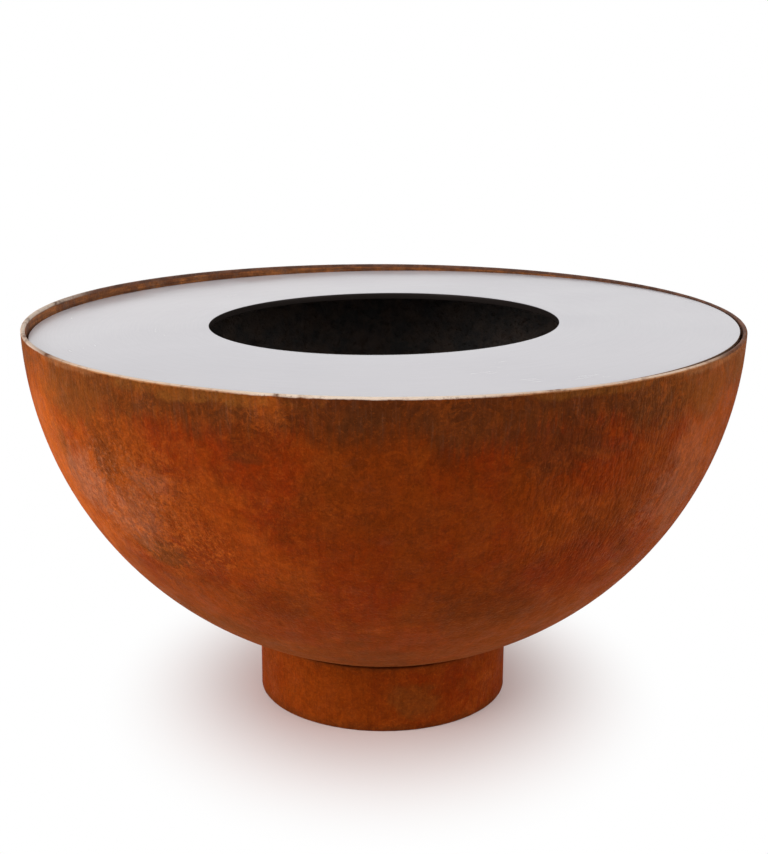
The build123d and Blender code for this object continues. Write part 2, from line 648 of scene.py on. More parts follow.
class Effects:
    """Shared effects. Each function wires the inside of its group from the group's inputs."""

    @staticmethod
    @effect("soft_patches", scale=8.0, detail=5.0, roughness=0.6, twist=0.0, low=0.4, high=0.6, seed=0.0)
    def patches(wires: Wiring, inputs: dict) -> bpy.types.NodeSocket:
        """Mask of soft cloudy patches all over."""
        place = wires.shifted(inputs["seed"])
        cloud = wires.noise(place, inputs["scale"], inputs["detail"], inputs["roughness"], inputs["twist"])
        return wires.between(cloud, inputs["low"], inputs["high"])

    @staticmethod
    @effect("upright_streaks", across=40.0, along=4.0, detail=4.0, low=0.4, high=0.6, seed=0.0)
    def streaks(wires: Wiring, inputs: dict) -> bpy.types.NodeSocket:
        """Mask of streaks that run up and down a round wall."""
        way = wires.add("VectorMath", {0: wires.level()[0]}, operation="NORMALIZE").outputs[0]
        spread = wires.scaled(way, wires.times(inputs["across"], 0.5))
        height = wires.times(wires.height(wires.place()), inputs["along"])
        rise = wires.add("CombineXYZ", {0: inputs["seed"], 1: inputs["seed"], 2: height}).outputs[0]
        cloud = wires.noise(wires.vector("ADD", spread, rise), 1.0, inputs["detail"])
        return wires.between(cloud, inputs["low"], inputs["high"])

    @staticmethod
    @effect("level_band", low=0.0, high=1.0, wander=0.02, scale=12.0, fringe=0.0)
    def band(wires: Wiring, inputs: dict) -> bpy.types.NodeSocket:
        """Level band whose edge wanders, which rises from 0 at low to 1 at high."""
        place = wires.place()
        cloud = wires.maths("SUBTRACT", wires.noise(place, inputs["scale"], 5.0, 0.62), 0.5)
        moved = wires.maths("ADD", wires.height(place), wires.times(cloud, inputs["wander"]))
        lines = Effects.streaks(wires, across=150.0, along=6.0, detail=5.0, low=0.3, high=0.7, seed=6.0)
        moved = wires.maths("ADD", moved, wires.times(lines, inputs["fringe"]))
        return wires.between(moved, inputs["low"], inputs["high"])

    @staticmethod
    @effect(
        "placed_patch",
        centre=(0.0, 0.0, 0.0),
        squeeze=(1.0, 1.0, 1.0),
        radius=0.05,
        ragged=1.0,
        scale=20.0,
    )
    def spot(wires: Wiring, inputs: dict) -> bpy.types.NodeSocket:
        """Soft patch at a place, with a ragged edge: 1 in its middle and 0 outside it."""
        place = wires.place()
        away = wires.vector("SUBTRACT", place, inputs["centre"])
        shaped = wires.vector("MULTIPLY", away, inputs["squeeze"])
        distance = wires.add("VectorMath", {0: shaped}, operation="LENGTH").outputs["Value"]
        share = wires.maths("DIVIDE", distance, inputs["radius"])
        cloud = wires.maths("SUBTRACT", wires.noise(place, inputs["scale"], 9.0, 0.74, 0.8), 0.5)
        ragged = wires.maths("ADD", share, wires.times(cloud, inputs["ragged"]))
        return wires.between(ragged, 1.0, 0.42)

    @staticmethod
    @effect("crust_veins", scale=60.0, width=0.05, seed=0.0)
    def veins(wires: Wiring, inputs: dict) -> bpy.types.NodeSocket:
        """Mask of thin wandering veins of crust."""
        cloud = wires.noise(wires.shifted(inputs["seed"]), inputs["scale"], 6.0, 0.7)
        away = wires.maths("ABSOLUTE", wires.maths("SUBTRACT", cloud, 0.5))
        return wires.between(away, inputs["width"], 0.0)

    @staticmethod
    @effect("fine_grain", scale=300.0, coarse=0.5, pits=0.3)
    def grain(wires: Wiring, inputs: dict) -> bpy.types.NodeSocket:
        """Height of fine grain with pits, for bumps."""
        place = wires.place()
        fine = wires.noise(place, inputs["scale"], 3.0, 0.55)
        quarter = wires.times(inputs["scale"], 0.25)
        coarse = wires.times(wires.noise(place, quarter, 4.0, 0.6), inputs["coarse"])
        half = wires.times(inputs["scale"], 0.5)
        pits = wires.between(wires.noise(place, half, 3.0, 0.6), 0.44, 0.30)
        return wires.maths("SUBTRACT", wires.maths("ADD", fine, coarse), wires.times(pits, inputs["pits"]))

    @staticmethod
    @effect("turned_away", low=0.85, high=0.35)
    def turned_away(wires: Wiring, inputs: dict) -> bpy.types.NodeSocket:
        """Mask of faces that don't look up, such as edges, walls and undersides."""
        rise = wires.height(wires.add("NewGeometry").outputs["Normal"])
        return wires.between(rise, inputs["low"], inputs["high"])

    @staticmethod
    @effect("ground_rings", scale=900.0)
    def rings(wires: Wiring, inputs: dict) -> bpy.types.NodeSocket:
        """Fine scores of a turning grinder, round the upright axis."""
        flat, reach = wires.level()
        fast = wires.add("CombineXYZ", {2: wires.times(reach, inputs["scale"])}).outputs[0]
        moved = wires.vector("ADD", wires.scaled(flat, 14.0), fast)
        return wires.between(wires.noise(moved, 1.0, 3.0, 0.7), 0.30, 0.70)

    @staticmethod
    @effect("outer_rim", low=0.0, high=0.5)
    def rim(wires: Wiring, inputs: dict) -> bpy.types.NodeSocket:
        """Soft change with the distance from the upright axis, from 0 at low to 1 at high."""
        return wires.between(wires.level()[1], inputs["low"], inputs["high"])

    @staticmethod
    @effect("soft_change", way=(0.0, 1.0, 0.0), low=-0.5, high=0.5)
    def towards(wires: Wiring, inputs: dict) -> bpy.types.NodeSocket:
        """Soft change along one direction, from 0 at low to 1 at high."""
        pair = {0: wires.place(), 1: inputs["way"]}
        along = wires.add("VectorMath", pair, operation="DOT_PRODUCT").outputs["Value"]
        return wires.between(along, inputs["low"], inputs["high"])

    @staticmethod
    @effect("edge_wear", radius=0.002, scale=120.0, low=0.02, high=0.3)
    def edges(wires: Wiring, inputs: dict) -> bpy.types.NodeSocket:
        """Mask of worn edges and corners."""
        rounded = wires.add("Bevel", {"Radius": inputs["radius"]}, samples=4).outputs[0]
        pair = {0: rounded, 1: wires.add("NewGeometry").outputs["Normal"]}
        same = wires.add("VectorMath", pair, operation="DOT_PRODUCT").outputs["Value"]
        cloud = wires.maths("SUBTRACT", wires.noise(wires.place(), inputs["scale"], 4.0, 0.6), 0.35)
        wear = wires.times(wires.maths("SUBTRACT", 1.0, same), wires.times(cloud, 4.0))
        return wires.between(wear, inputs["low"], inputs["high"])


class Cover(Enum):
    """How a patch covers what is below it."""

    SOFT = "soft"
    VEINS = "veins"
    FLECKS = "flecks"


@dataclass(frozen=True)
class Patch:
    """One patch of another colour on the bowl's outer wall.

    Attributes:
        azimuth: Degrees, counter-clockwise from the right-hand side, seen from above.
        height: Height of its middle over the ground.
        radius: Its reach.
        colour: Its colour.
        share: How strongly it covers.
        tall: How much taller than wide it is.
        cover: How it covers what is below it.
        ragged: How ragged its edge is.
        scale: Fineness of the ragged edge.
    """

    azimuth: float
    height: float
    radius: float
    colour: Colour
    share: float = 0.8
    tall: float = 1.0
    cover: Cover = Cover.SOFT
    ragged: float = 2.4
    scale: float = 20.0


@dataclass(frozen=True)
class Shell:
    """Round shell that a finish reads its places from.

    Attributes:
        radius: Outer radius of the bowl.
        centre_height: Height of the bowl's centre.
        lip_height: Height of the lip.
        seat_height: Height of the seam between bowl and base ring.
    """

    radius: float
    centre_height: float
    lip_height: float
    seat_height: float

    def place(self, azimuth: float, height: float) -> Vector:
        """Point of the outer wall.

        Args:
            azimuth: Degrees from the right-hand side.
            height: Height over the ground.

        Returns:
            The point.
        """
        drop = self.centre_height - height
        reach = math.sqrt(max(self.radius ** 2 - drop ** 2, 0.0))
        angle = math.radians(azimuth)
        return Vector((reach * math.cos(angle), reach * math.sin(angle), height))


def new_material(name: str, **values: object) -> tuple[bpy.types.Material, Wiring, bpy.types.Node]:
    """Make a material with one Principled shader.

    Args:
        name: Name of the material.
        **values: Values for the shader's own sockets, with underscores for spaces.

    Returns:
        The material, its wiring and its shader node.
    """
    material = bpy.data.materials.new(name)
    material.use_nodes = True
    wires = Wiring(material.node_tree)
    shader = material.node_tree.nodes["Principled BSDF"]
    for key, value in values.items():
        wires.feed(shader.inputs[key.replace("_", " ")], value)
    return material, wires, shader


@dataclass(frozen=True)
class WeatheringSteel:
    """Rust skin of weathering steel, as bowl and base ring carry it."""

    shell: Shell
    dark: Colour = (0.074, 0.0200, 0.0044)
    olive: Colour = (0.148, 0.0430, 0.0064)
    brown: Colour = (0.088, 0.0175, 0.0016)
    rust: Colour = (0.180, 0.0200, 0.0008)
    ochre: Colour = (0.185, 0.0290, 0.0014)
    orange: Colour = (0.300, 0.0560, 0.0040)
    bright: Colour = (0.480, 0.1050, 0.0120)
    pink: Colour = (0.270, 0.0900, 0.0440)
    peach: Colour = (0.500, 0.2000, 0.0900)
    dust: Colour = (0.220, 0.1100, 0.0650)
    # Pale metal of the rubbed lip, which also paints its highlight along the front edge
    worn: Colour = (0.700, 0.5700, 0.4600)
    tan: Colour = (0.380, 0.1700, 0.0680)
    gold: Colour = (0.230, 0.0780, 0.0110)
    lip_dark: Colour = (0.070, 0.0300, 0.0180)
    lip_brown: Colour = (0.140, 0.0580, 0.0320)
    sheen: float = 0.15
    sheen_roughness: float = 0.35
    sheen_tint: Colour = (1.0, 0.38, 0.12)

    def skin(self, name: str) -> tuple[bpy.types.Material, Wiring, bpy.types.Node]:
        """Start a material that has the dry sheen of rust."""
        return new_material(name, Specular_IOR_Level=0.03, Sheen_Weight=self.sheen,
                            Sheen_Roughness=self.sheen_roughness, Sheen_Tint=self.sheen_tint)

    def clouds(self, wires: Wiring) -> bpy.types.NodeSocket:
        """Broad clouds of the rust, before anything lies on them.

        Args:
            wires: Wiring of the material.

        Returns:
            The colour.
        """
        cloud = Effects.patches
        zones = cloud(wires, scale=5.5, detail=6.0, roughness=0.60, twist=0.4, low=0.42, high=0.60, seed=3.0)
        tone = wires.blend(zones, self.rust, self.ochre)
        shade = cloud(wires, scale=9.0, detail=7.0, roughness=0.68, twist=0.5, low=0.50, high=0.68, seed=12.0)
        tone = wires.blend(wires.times(shade, 0.50), tone, self.brown)
        warm = cloud(wires, scale=14.0, detail=7.0, roughness=0.70, twist=0.6, low=0.54, high=0.68, seed=7.0)
        tone = wires.blend(wires.times(warm, 0.45), tone, self.orange)
        dust = cloud(wires, scale=19.0, detail=8.0, roughness=0.75, twist=0.5, low=0.57, high=0.72, seed=23.0)
        return wires.blend(wires.times(dust, 0.16), tone, self.pink)

    def grained(self, wires: Wiring, tone: bpy.types.NodeSocket, crusty: object) -> bpy.types.NodeSocket:
        """Lay strokes, crust, flecks and sand over a colour.

        Args:
            wires: Wiring of the material.
            tone: The colour below.
            crusty: How crusty the place is, from 0 to 1.

        Returns:
            The colour with its grain.
        """
        cloud = Effects.patches
        strokes = Effects.streaks(wires, across=150.0, along=28.0, detail=5.0, low=0.42, high=0.66, seed=4.0)
        tone = wires.blend(wires.times(strokes, 0.27), tone, self.brown)
        isles = cloud(wires, scale=26.0, detail=8.0, roughness=0.7, twist=1.6, low=0.50, high=0.58, seed=41.0)
        more = wires.between(crusty, 0.0, 1.0, 0.16, 0.40)
        tone = wires.blend(wires.times(isles, more), tone, self.orange)
        veins = Effects.veins(wires, scale=24.0, width=0.035, seed=13.0)
        tone = wires.blend(wires.times(veins, 0.12), tone, self.brown)
        marks = Effects.veins(wires, scale=38.0, width=0.035, seed=3.0)
        tone = wires.blend(wires.times(marks, wires.times(crusty, 0.32)), tone, self.brown)
        scab = cloud(wires, scale=78.0, detail=6.0, roughness=0.72, twist=1.0, low=0.53, high=0.57, seed=29.0)
        tone = wires.blend(wires.times(scab, wires.times(crusty, 0.30)), tone, self.bright)
        gaps = cloud(wires, scale=90.0, detail=5.0, roughness=0.70, twist=1.0, low=0.56, high=0.61, seed=53.0)
        tone = wires.blend(wires.times(gaps, wires.times(crusty, 0.34)), tone, self.brown)
        light = cloud(wires, scale=300.0, detail=2.0, roughness=0.6, low=0.60, high=0.68, seed=5.0)
        tone = wires.blend(wires.times(light, 0.12), tone, self.bright)
        crust = cloud(wires, scale=66.0, detail=6.0, roughness=0.65, twist=1.2, low=0.38, high=0.62, seed=9.0)
        tone = wires.shaded(tone, crust, 0.91, 1.08)
        sand = cloud(wires, scale=340.0, detail=2.0, roughness=0.6, low=0.32, high=0.68, seed=1.0)
        return wires.shaded(tone, sand, 0.91, 1.08)

    def crusty(self, wires: Wiring) -> bpy.types.NodeSocket:
        """How crusty each place is: here and there, and most at the left of the front.

        Args:
            wires: Wiring of the material.

        Returns:
            The mask.
        """
        cloud = Effects.patches
        here = cloud(wires, scale=7.0, detail=4.0, roughness=0.6, twist=0.5, low=0.44, high=0.66, seed=37.0)
        left = Effects.spot(wires, centre=self.shell.place(-130.0, 0.385), squeeze=(1.0, 1.0, 1.2),
                            radius=0.175, ragged=1.8, scale=14.0)
        right = Effects.spot(wires, centre=self.shell.place(-40.0, 0.40), radius=0.11, ragged=1.6, scale=18.0)
        placed = wires.maths("MAXIMUM", left, wires.times(right, 0.7))
        return wires.maths("MAXIMUM", wires.times(here, 0.42), placed)

    def dashed(self, wires: Wiring) -> bpy.types.NodeSocket:
        """Where upright dashes are pressed into the skin: right of the front, under the lip.

        Args:
            wires: Wiring of the material.

        Returns:
            The mask.
        """
        right = Effects.spot(wires, centre=self.shell.place(-56.0, 0.43), squeeze=(1.0, 1.0, 0.9),
                             radius=0.19, ragged=1.4, scale=12.0)
        lip = self.shell.lip_height
        under = Effects.band(wires, low=lip - 0.09, high=lip - 0.04, wander=0.06, scale=9.0)
        return wires.maths("MAXIMUM", right, wires.times(under, 0.3))

    def texture(self, wires: Wiring, cover: Cover) -> object:
        """Mask of a patch's texture.

        Args:
            wires: Wiring of the material.
            cover: The kind of texture.

        Returns:
            The mask, or 1 for a soft patch.
        """
        if cover is Cover.VEINS:
            return Effects.veins(wires, scale=55.0, width=0.05, seed=2.0)
        if cover is Cover.FLECKS:
            cloud = Effects.patches
            return cloud(wires, scale=150.0, detail=5.0, roughness=0.75, low=0.50, high=0.60, seed=17.0)
        return 1.0

    def patched(self, wires: Wiring, tone: bpy.types.NodeSocket,
                patches: tuple[Patch, ...]) -> bpy.types.NodeSocket:
        """Lay single patches over a colour.

        Args:
            wires: Wiring of the material.
            tone: The colour below.
            patches: The patches, lowest first.

        Returns:
            The colour with its patches.
        """
        for patch in patches:
            mask = Effects.spot(
                wires,
                centre=self.shell.place(patch.azimuth, patch.height),
                squeeze=(1.0, 1.0, 1.0 / patch.tall),
                radius=patch.radius,
                ragged=patch.ragged,
                scale=patch.scale,
            )
            share = wires.times(mask, self.texture(wires, patch.cover))
            tone = wires.blend(wires.times(share, patch.share), tone, patch.colour)
        return tone

    def roughen(self, wires: Wiring, shader: bpy.types.Node, depth: float, crusty: object,
                dashed: object) -> None:
        """Give the shader its roughness and bumps.

        Args:
            wires: Wiring of the material.
            shader: Its Principled shader.
            depth: Height of the grain.
            crusty: How crusty the place is.
            dashed: How much upright dashes show.
        """
        height = Effects.grain(wires, scale=330.0, coarse=1.8, pits=0.3)
        ridges = Effects.veins(wires, scale=60.0, width=0.10, seed=47.0)
        height = wires.maths("ADD", height, wires.times(ridges, wires.times(crusty, 1.1)))
        dashes = Effects.streaks(wires, across=250.0, along=84.0, detail=3.0, low=0.36, high=0.64, seed=8.0)
        height = wires.maths("ADD", height, wires.times(dashes, wires.times(dashed, 1.0)))
        wires.bumped(shader, height, depth)
        rough = Effects.patches(wires, scale=30.0, detail=5.0, low=0.3, high=0.7, seed=5.0)
        wires.feed(shader.inputs["Roughness"], wires.between(rough, 0.0, 1.0, 0.66, 0.9))

    def rubbed(self, wires: Wiring, tone: bpy.types.NodeSocket, low: float,
               high: float) -> bpy.types.NodeSocket:
        """Lay the lip over a colour: bare in the middle of the front, tan beside it, brown behind.

        Args:
            wires: Wiring of the material.
            tone: The colour below.
            low: Height where the wear starts.
            high: Height from which it covers all.

        Returns:
            The colour with the lip.
        """
        cloud = Effects.patches
        edge = Effects.band(wires, low=low, high=high, wander=0.003, scale=70.0)
        mottle = cloud(wires, scale=50.0, detail=6.0, roughness=0.7, low=0.40, high=0.62, seed=4.0)
        old = wires.blend(mottle, self.lip_dark, self.lip_brown)
        reach = self.shell.radius
        # The lip is lighter at the front than behind: partly rubbed wear, partly a painted highlight along
        # its lit front edge.
        beside = Effects.towards(wires, way=(0.0, -1.0, 0.0), low=0.48 * reach, high=0.72 * reach)
        wear = cloud(wires, scale=28.0, detail=6.0, roughness=0.7, low=0.26, high=0.50, seed=14.0)
        metal = wires.blend(wires.times(beside, wear), old, self.tan)
        middle = Effects.towards(wires, way=(-0.04, -1.0, 0.0), low=0.935 * reach, high=0.985 * reach)
        metal = wires.blend(wires.times(middle, wear), metal, self.worn)
        dashes = cloud(wires, scale=120.0, detail=5.0, roughness=0.7, low=0.56, high=0.64, seed=33.0)
        metal = wires.blend(wires.times(dashes, 0.55), metal, self.brown)
        lip = self.shell.lip_height
        # The pale crown line at the front and the pale band at the left are partly wear, partly a painted
        # highlight on the lip's edge.
        crown = Effects.band(wires, low=lip - 0.0020, high=lip - 0.0006, wander=0.0)
        left = Effects.towards(wires, way=(-1.0, -0.1, 0.0), low=0.85 * reach, high=0.95 * reach)
        deep = Effects.band(wires, low=lip - 0.0060, high=lip - 0.0030, wander=0.003, scale=60.0)
        pale = wires.maths("MAXIMUM", wires.times(beside, crown), wires.times(left, deep))
        metal = wires.blend(wires.times(wires.times(pale, wear), 0.70), metal, self.worn)
        return wires.blend(edge, tone, metal)

    def for_bowl(self, patches: tuple[Patch, ...]) -> bpy.types.Material:
        """Rust of the bowl's outer wall, with its dark band and worn lip.

        Args:
            patches: Single patches, lowest first.

        Returns:
            The material.
        """
        material, wires, shader = self.skin("weathering_steel_bowl")
        tone = self.clouds(wires)
        lip = self.shell.lip_height
        reach = self.shell.radius
        band = Effects.band(wires, low=lip - 0.080, high=lip - 0.038, wander=0.09, scale=9.0, fringe=-0.022)
        front = Effects.towards(wires, way=(0.0, -1.0, 0.0), low=0.66 * reach, high=0.92 * reach)
        mixed = Effects.patches(wires, scale=11.0, detail=6.0, roughness=0.65, low=0.36, high=0.64, seed=31.0)
        deep_share = wires.maths("ADD", wires.times(front, 0.75), wires.times(mixed, 0.25))
        shade = wires.blend(deep_share, self.olive, self.dark)
        tone = wires.blend(wires.times(band, 0.86), tone, shade)
        tone = self.patched(wires, tone, patches)
        hairs = Effects.streaks(wires, across=330.0, along=26.0, detail=3.0, low=0.50, high=0.68, seed=9.0)
        tone = wires.blend(wires.times(hairs, wires.times(band, 0.12)), tone, self.dust)
        lines = Effects.streaks(wires, across=220.0, along=20.0, detail=4.0, low=0.46, high=0.68, seed=2.0)
        tone = wires.blend(wires.times(lines, wires.times(band, 0.24)), tone, self.brown)
        crusty = self.crusty(wires)
        dashed = self.dashed(wires)
        tone = self.grained(wires, tone, crusty)
        # Painted shade and highlight of the pressed dashes: the colour darkens in their grooves and lightens
        # on their ridges, following the same streaks as their bumps.
        pressed = Effects.streaks(wires, across=250.0, along=84.0, detail=3.0, low=0.36, high=0.64, seed=8.0)
        painted_relief_swing = wires.times(dashed, 0.13)
        darkest = wires.maths("SUBTRACT", 1.0, painted_relief_swing)
        lightest = wires.maths("ADD", 1.0, painted_relief_swing)
        tone = wires.shaded(tone, pressed, darkest, lightest)
        # Painted sheen: a faint golden tint towards the bottom, where the wall turns away from view and shows
        # a dry sheen.
        lower = Effects.band(wires, low=0.30, high=0.20, wander=0.06, scale=9.0)
        tone = wires.blend(wires.times(lower, 0.10), tone, self.gold)
        # Painted light: the bowl's left side is made up to 30% lighter, as if lit more strongly from the
        # left.
        glow = Effects.spot(wires, centre=self.shell.place(-148.0, 0.36), squeeze=(1.0, 1.0, 0.7),
                            radius=0.17, ragged=1.2, scale=12.0)
        tone = wires.shaded(tone, glow, 1.0, 1.30)
        # Painted shade: the middle of the front is made up to 18% darker than its sides, which look more
        # strongly lit.
        middle = Effects.spot(wires, centre=self.shell.place(-72.0, 0.44), squeeze=(1.0, 1.0, 1.1),
                              radius=0.33, ragged=0.8, scale=8.0)
        tone = wires.shaded(tone, middle, 1.0, 0.82)
        wires.feed(shader.inputs["Base Color"], self.rubbed(wires, tone, lip - 0.0036, lip - 0.0018))
        self.roughen(wires, shader, 0.0007, crusty, dashed)
        return material

    def for_ring(self) -> bpy.types.Material:
        """Rust of the base ring, darker at its foot and under the bowl.

        Returns:
            The material.
        """
        material, wires, shader = self.skin("weathering_steel_ring")
        tone = self.clouds(wires)
        foot = Effects.band(wires, low=0.014, high=0.0, wander=0.02, scale=14.0)
        tone = wires.blend(wires.times(foot, 0.6), tone, self.dark)
        # Dark band at the top of the ring where it meets the bowl: partly the dark joint, partly painted
        # shade under the bowl's overhang.
        seat = self.shell.seat_height
        seam = Effects.band(wires, low=seat - 0.007, high=seat, wander=0.01, scale=20.0)
        tone = wires.blend(wires.times(seam, 0.5), tone, self.dark)
        stain = Effects.spot(wires, centre=Vector((0.045, -0.175, 0.045)), squeeze=(1.0, 1.0, 1.3),
                             radius=0.045, ragged=2.2, scale=24.0)
        tone = wires.blend(wires.times(stain, 0.6), tone, self.olive)
        # Painted light: the ring is made up to 26% lighter towards its left, as if lit more strongly from the
        # left.
        left = Effects.towards(wires, way=(-1.0, 0.0, 0.0), low=-0.04, high=0.17)
        tone = wires.shaded(tone, left, 1.0, 1.26)
        wires.feed(shader.inputs["Base Color"], self.grained(wires, tone, 0.22))
        self.roughen(wires, shader, 0.0007, 0.22, 0.0)
        return material

    def for_inner_lip(self) -> bpy.types.Material:
        """Rust of the bowl's inner wall, which turns to soot below the plate.

        Returns:
            The material.
        """
        material, wires, shader = new_material("sooted_inner_wall", Specular_IOR_Level=0.25)
        lip = self.shell.lip_height
        cloud = Effects.patches
        brown = cloud(wires, scale=24.0, detail=7.0, roughness=0.68, low=0.38, high=0.62, seed=8.0)
        tone = wires.blend(brown, (0.110, 0.0330, 0.0090), (0.240, 0.0780, 0.0180))
        wiped = Effects.streaks(wires, across=16.0, along=330.0, detail=4.0, low=0.38, high=0.62, seed=18.0)
        tone = wires.shaded(tone, wiped, 0.74, 1.22)
        grey = cloud(wires, scale=36.0, detail=7.0, roughness=0.72, twist=0.8, low=0.52, high=0.62, seed=15.0)
        tone = wires.blend(wires.times(grey, 0.40), tone, (0.100, 0.0600, 0.0420))
        sand = cloud(wires, scale=380.0, detail=3.0, roughness=0.7, low=0.32, high=0.68, seed=1.0)
        tone = wires.shaded(tone, sand, 0.84, 1.15)
        soot = Effects.band(wires, low=lip - 0.020, high=lip - 0.046, wander=0.03, scale=14.0)
        black = wires.blend(brown, (0.024, 0.017, 0.014), (0.080, 0.048, 0.032))
        runs = Effects.streaks(wires, across=60.0, along=7.0, detail=6.0, low=0.50, high=0.68, seed=7.0)
        black = wires.blend(wires.times(runs, 0.35), black, (0.095, 0.048, 0.026))
        tone = wires.blend(soot, tone, black)
        floor_ash = Effects.band(wires, low=0.19, high=0.09, wander=0.12, scale=16.0)
        powder = Effects.patches(wires, scale=60.0, detail=6.0, low=0.40, high=0.66, seed=21.0)
        tone = wires.blend(wires.times(floor_ash, powder), tone, (0.150, 0.138, 0.128))
        wires.feed(shader.inputs["Base Color"], self.rubbed(wires, tone, lip - 0.0056, lip - 0.0028))
        rough = wires.maths("SUBTRACT", 0.8, wires.times(soot, 0.34))
        wires.feed(shader.inputs["Roughness"], rough)
        height = Effects.grain(wires, scale=240.0, coarse=0.8, pits=0.5)
        wires.bumped(shader, height, 0.8 * MM)
        return material


@dataclass(frozen=True)
class GroundSteel:
    """Finely ground, satin steel of the cooking plate."""

    light: Colour = (0.520, 0.503, 0.530)
    deep: Colour = (0.500, 0.485, 0.512)
    # Colour of the painted reflection towards the back left
    pale: Colour = (0.575, 0.553, 0.575)
    burnt: Colour = (0.026, 0.020, 0.018)
    rusty: Colour = (0.230, 0.140, 0.090)

    def material(self) -> bpy.types.Material:
        """Make the plate's material.

        Returns:
            The material.
        """
        material, wires, shader = new_material("ground_plate", Metallic=0.35, Specular_IOR_Level=0.1)
        wide = Effects.patches(wires, scale=3.2, detail=3.0, low=0.3, high=0.7, seed=2.0)
        tone = wires.blend(wide, self.deep, self.light)
        # Painted reflection: the plate is made paler towards the back left, where it would mirror the bright
        # surroundings.
        painted_reflection = Effects.towards(wires, way=(-0.75, 0.66, 0.0), low=0.02, high=0.46)
        tone = wires.blend(painted_reflection, tone, self.pale)
        ground = Effects.rings(wires, scale=620.0)
        tone = wires.shaded(tone, ground, 0.988, 1.01)
        away = Effects.turned_away(wires)
        rim = Effects.rim(wires, low=0.30, high=0.44)
        tone = wires.blend(away, tone, wires.blend(rim, self.burnt, self.rusty))
        wires.feed(shader.inputs["Base Color"], tone)
        smear = Effects.patches(wires, scale=7.0, detail=4.0, low=0.3, high=0.7, seed=11.0)
        satin = wires.between(smear, 0.0, 1.0, 0.20, 0.26)
        scored = wires.times(wires.maths("SUBTRACT", ground, 0.5), 0.03)
        wires.feed(shader.inputs["Roughness"], wires.maths("ADD", satin, scored))
        wires.bumped(shader, ground, 0.02 * MM, strength=0.2)
        return material


@dataclass(frozen=True)
class FireSteel:
    """Plain steel of the parts that live in the fire.

    Attributes:
        name: Name of the material.
        base: Its main colour.
        rust: Colour of its rust.
        rust_share: How much rust shows.
        bare: Colour where its edges are rubbed bare.
        bare_share: How much of the edges is rubbed.
        metallic: Whether it shines as bare metal.
        rough: Its mean roughness.
    """

    name: str
    base: Colour
    rust: Colour = (0.120, 0.042, 0.016)
    rust_share: float = 0.35
    bare: Colour = (0.220, 0.200, 0.185)
    bare_share: float = 0.5
    metallic: float = 0.0
    rough: float = 0.6

    def material(self) -> bpy.types.Material:
        """Make the material.

        Returns:
            The material.
        """
        material, wires, shader = new_material(self.name, Metallic=self.metallic)
        mottle = Effects.patches(wires, scale=38.0, detail=6.0, low=0.3, high=0.7, seed=3.0)
        pale = tuple(min(channel * 2.1, 1.0) for channel in self.base)
        tone = wires.blend(mottle, self.base, pale)
        rusty = Effects.patches(wires, scale=24.0, detail=7.0, roughness=0.68, low=0.50, high=0.66, seed=9.0)
        tone = wires.blend(wires.times(rusty, self.rust_share), tone, self.rust)
        rubbed = Effects.edges(wires, radius=1.6 * MM)
        tone = wires.blend(wires.times(rubbed, self.bare_share), tone, self.bare)
        wires.feed(shader.inputs["Base Color"], tone)
        rough = wires.between(mottle, 0.0, 1.0, self.rough + 0.1, self.rough - 0.1)
        wires.feed(shader.inputs["Roughness"], rough)
        height = Effects.grain(wires, scale=420.0, coarse=0.7, pits=0.4)
        wires.bumped(shader, height, 0.4 * MM)
        return material


def dress(piece: bpy.types.Object, *materials: bpy.types.Material) -> None:
    """Give a piece its materials, in order, in place of any that it has.

    Args:
        piece: The piece.
        *materials: Its materials.
    """
    piece.data.materials.clear()
    for material in materials:
        piece.data.materials.append(material)


def finish_piece(piece: bpy.types.Object, body: str, nodes: tuple[str, ...] = ()) -> None:
    """Let a piece ride on its body, name its slot and let it stand for its nodes.

    Args:
        piece: The piece.
        body: Name of the body.
        slot: Name of the record's material slot.
        nodes: Nodes of the packed model that it replaces.
    """
    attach(piece, body)
    if nodes:
        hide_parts(*nodes)
    log.info("%s rides on %s and stands for %s", piece.name, body, ", ".join(nodes) or "nothing else")


# Sub-assemblies


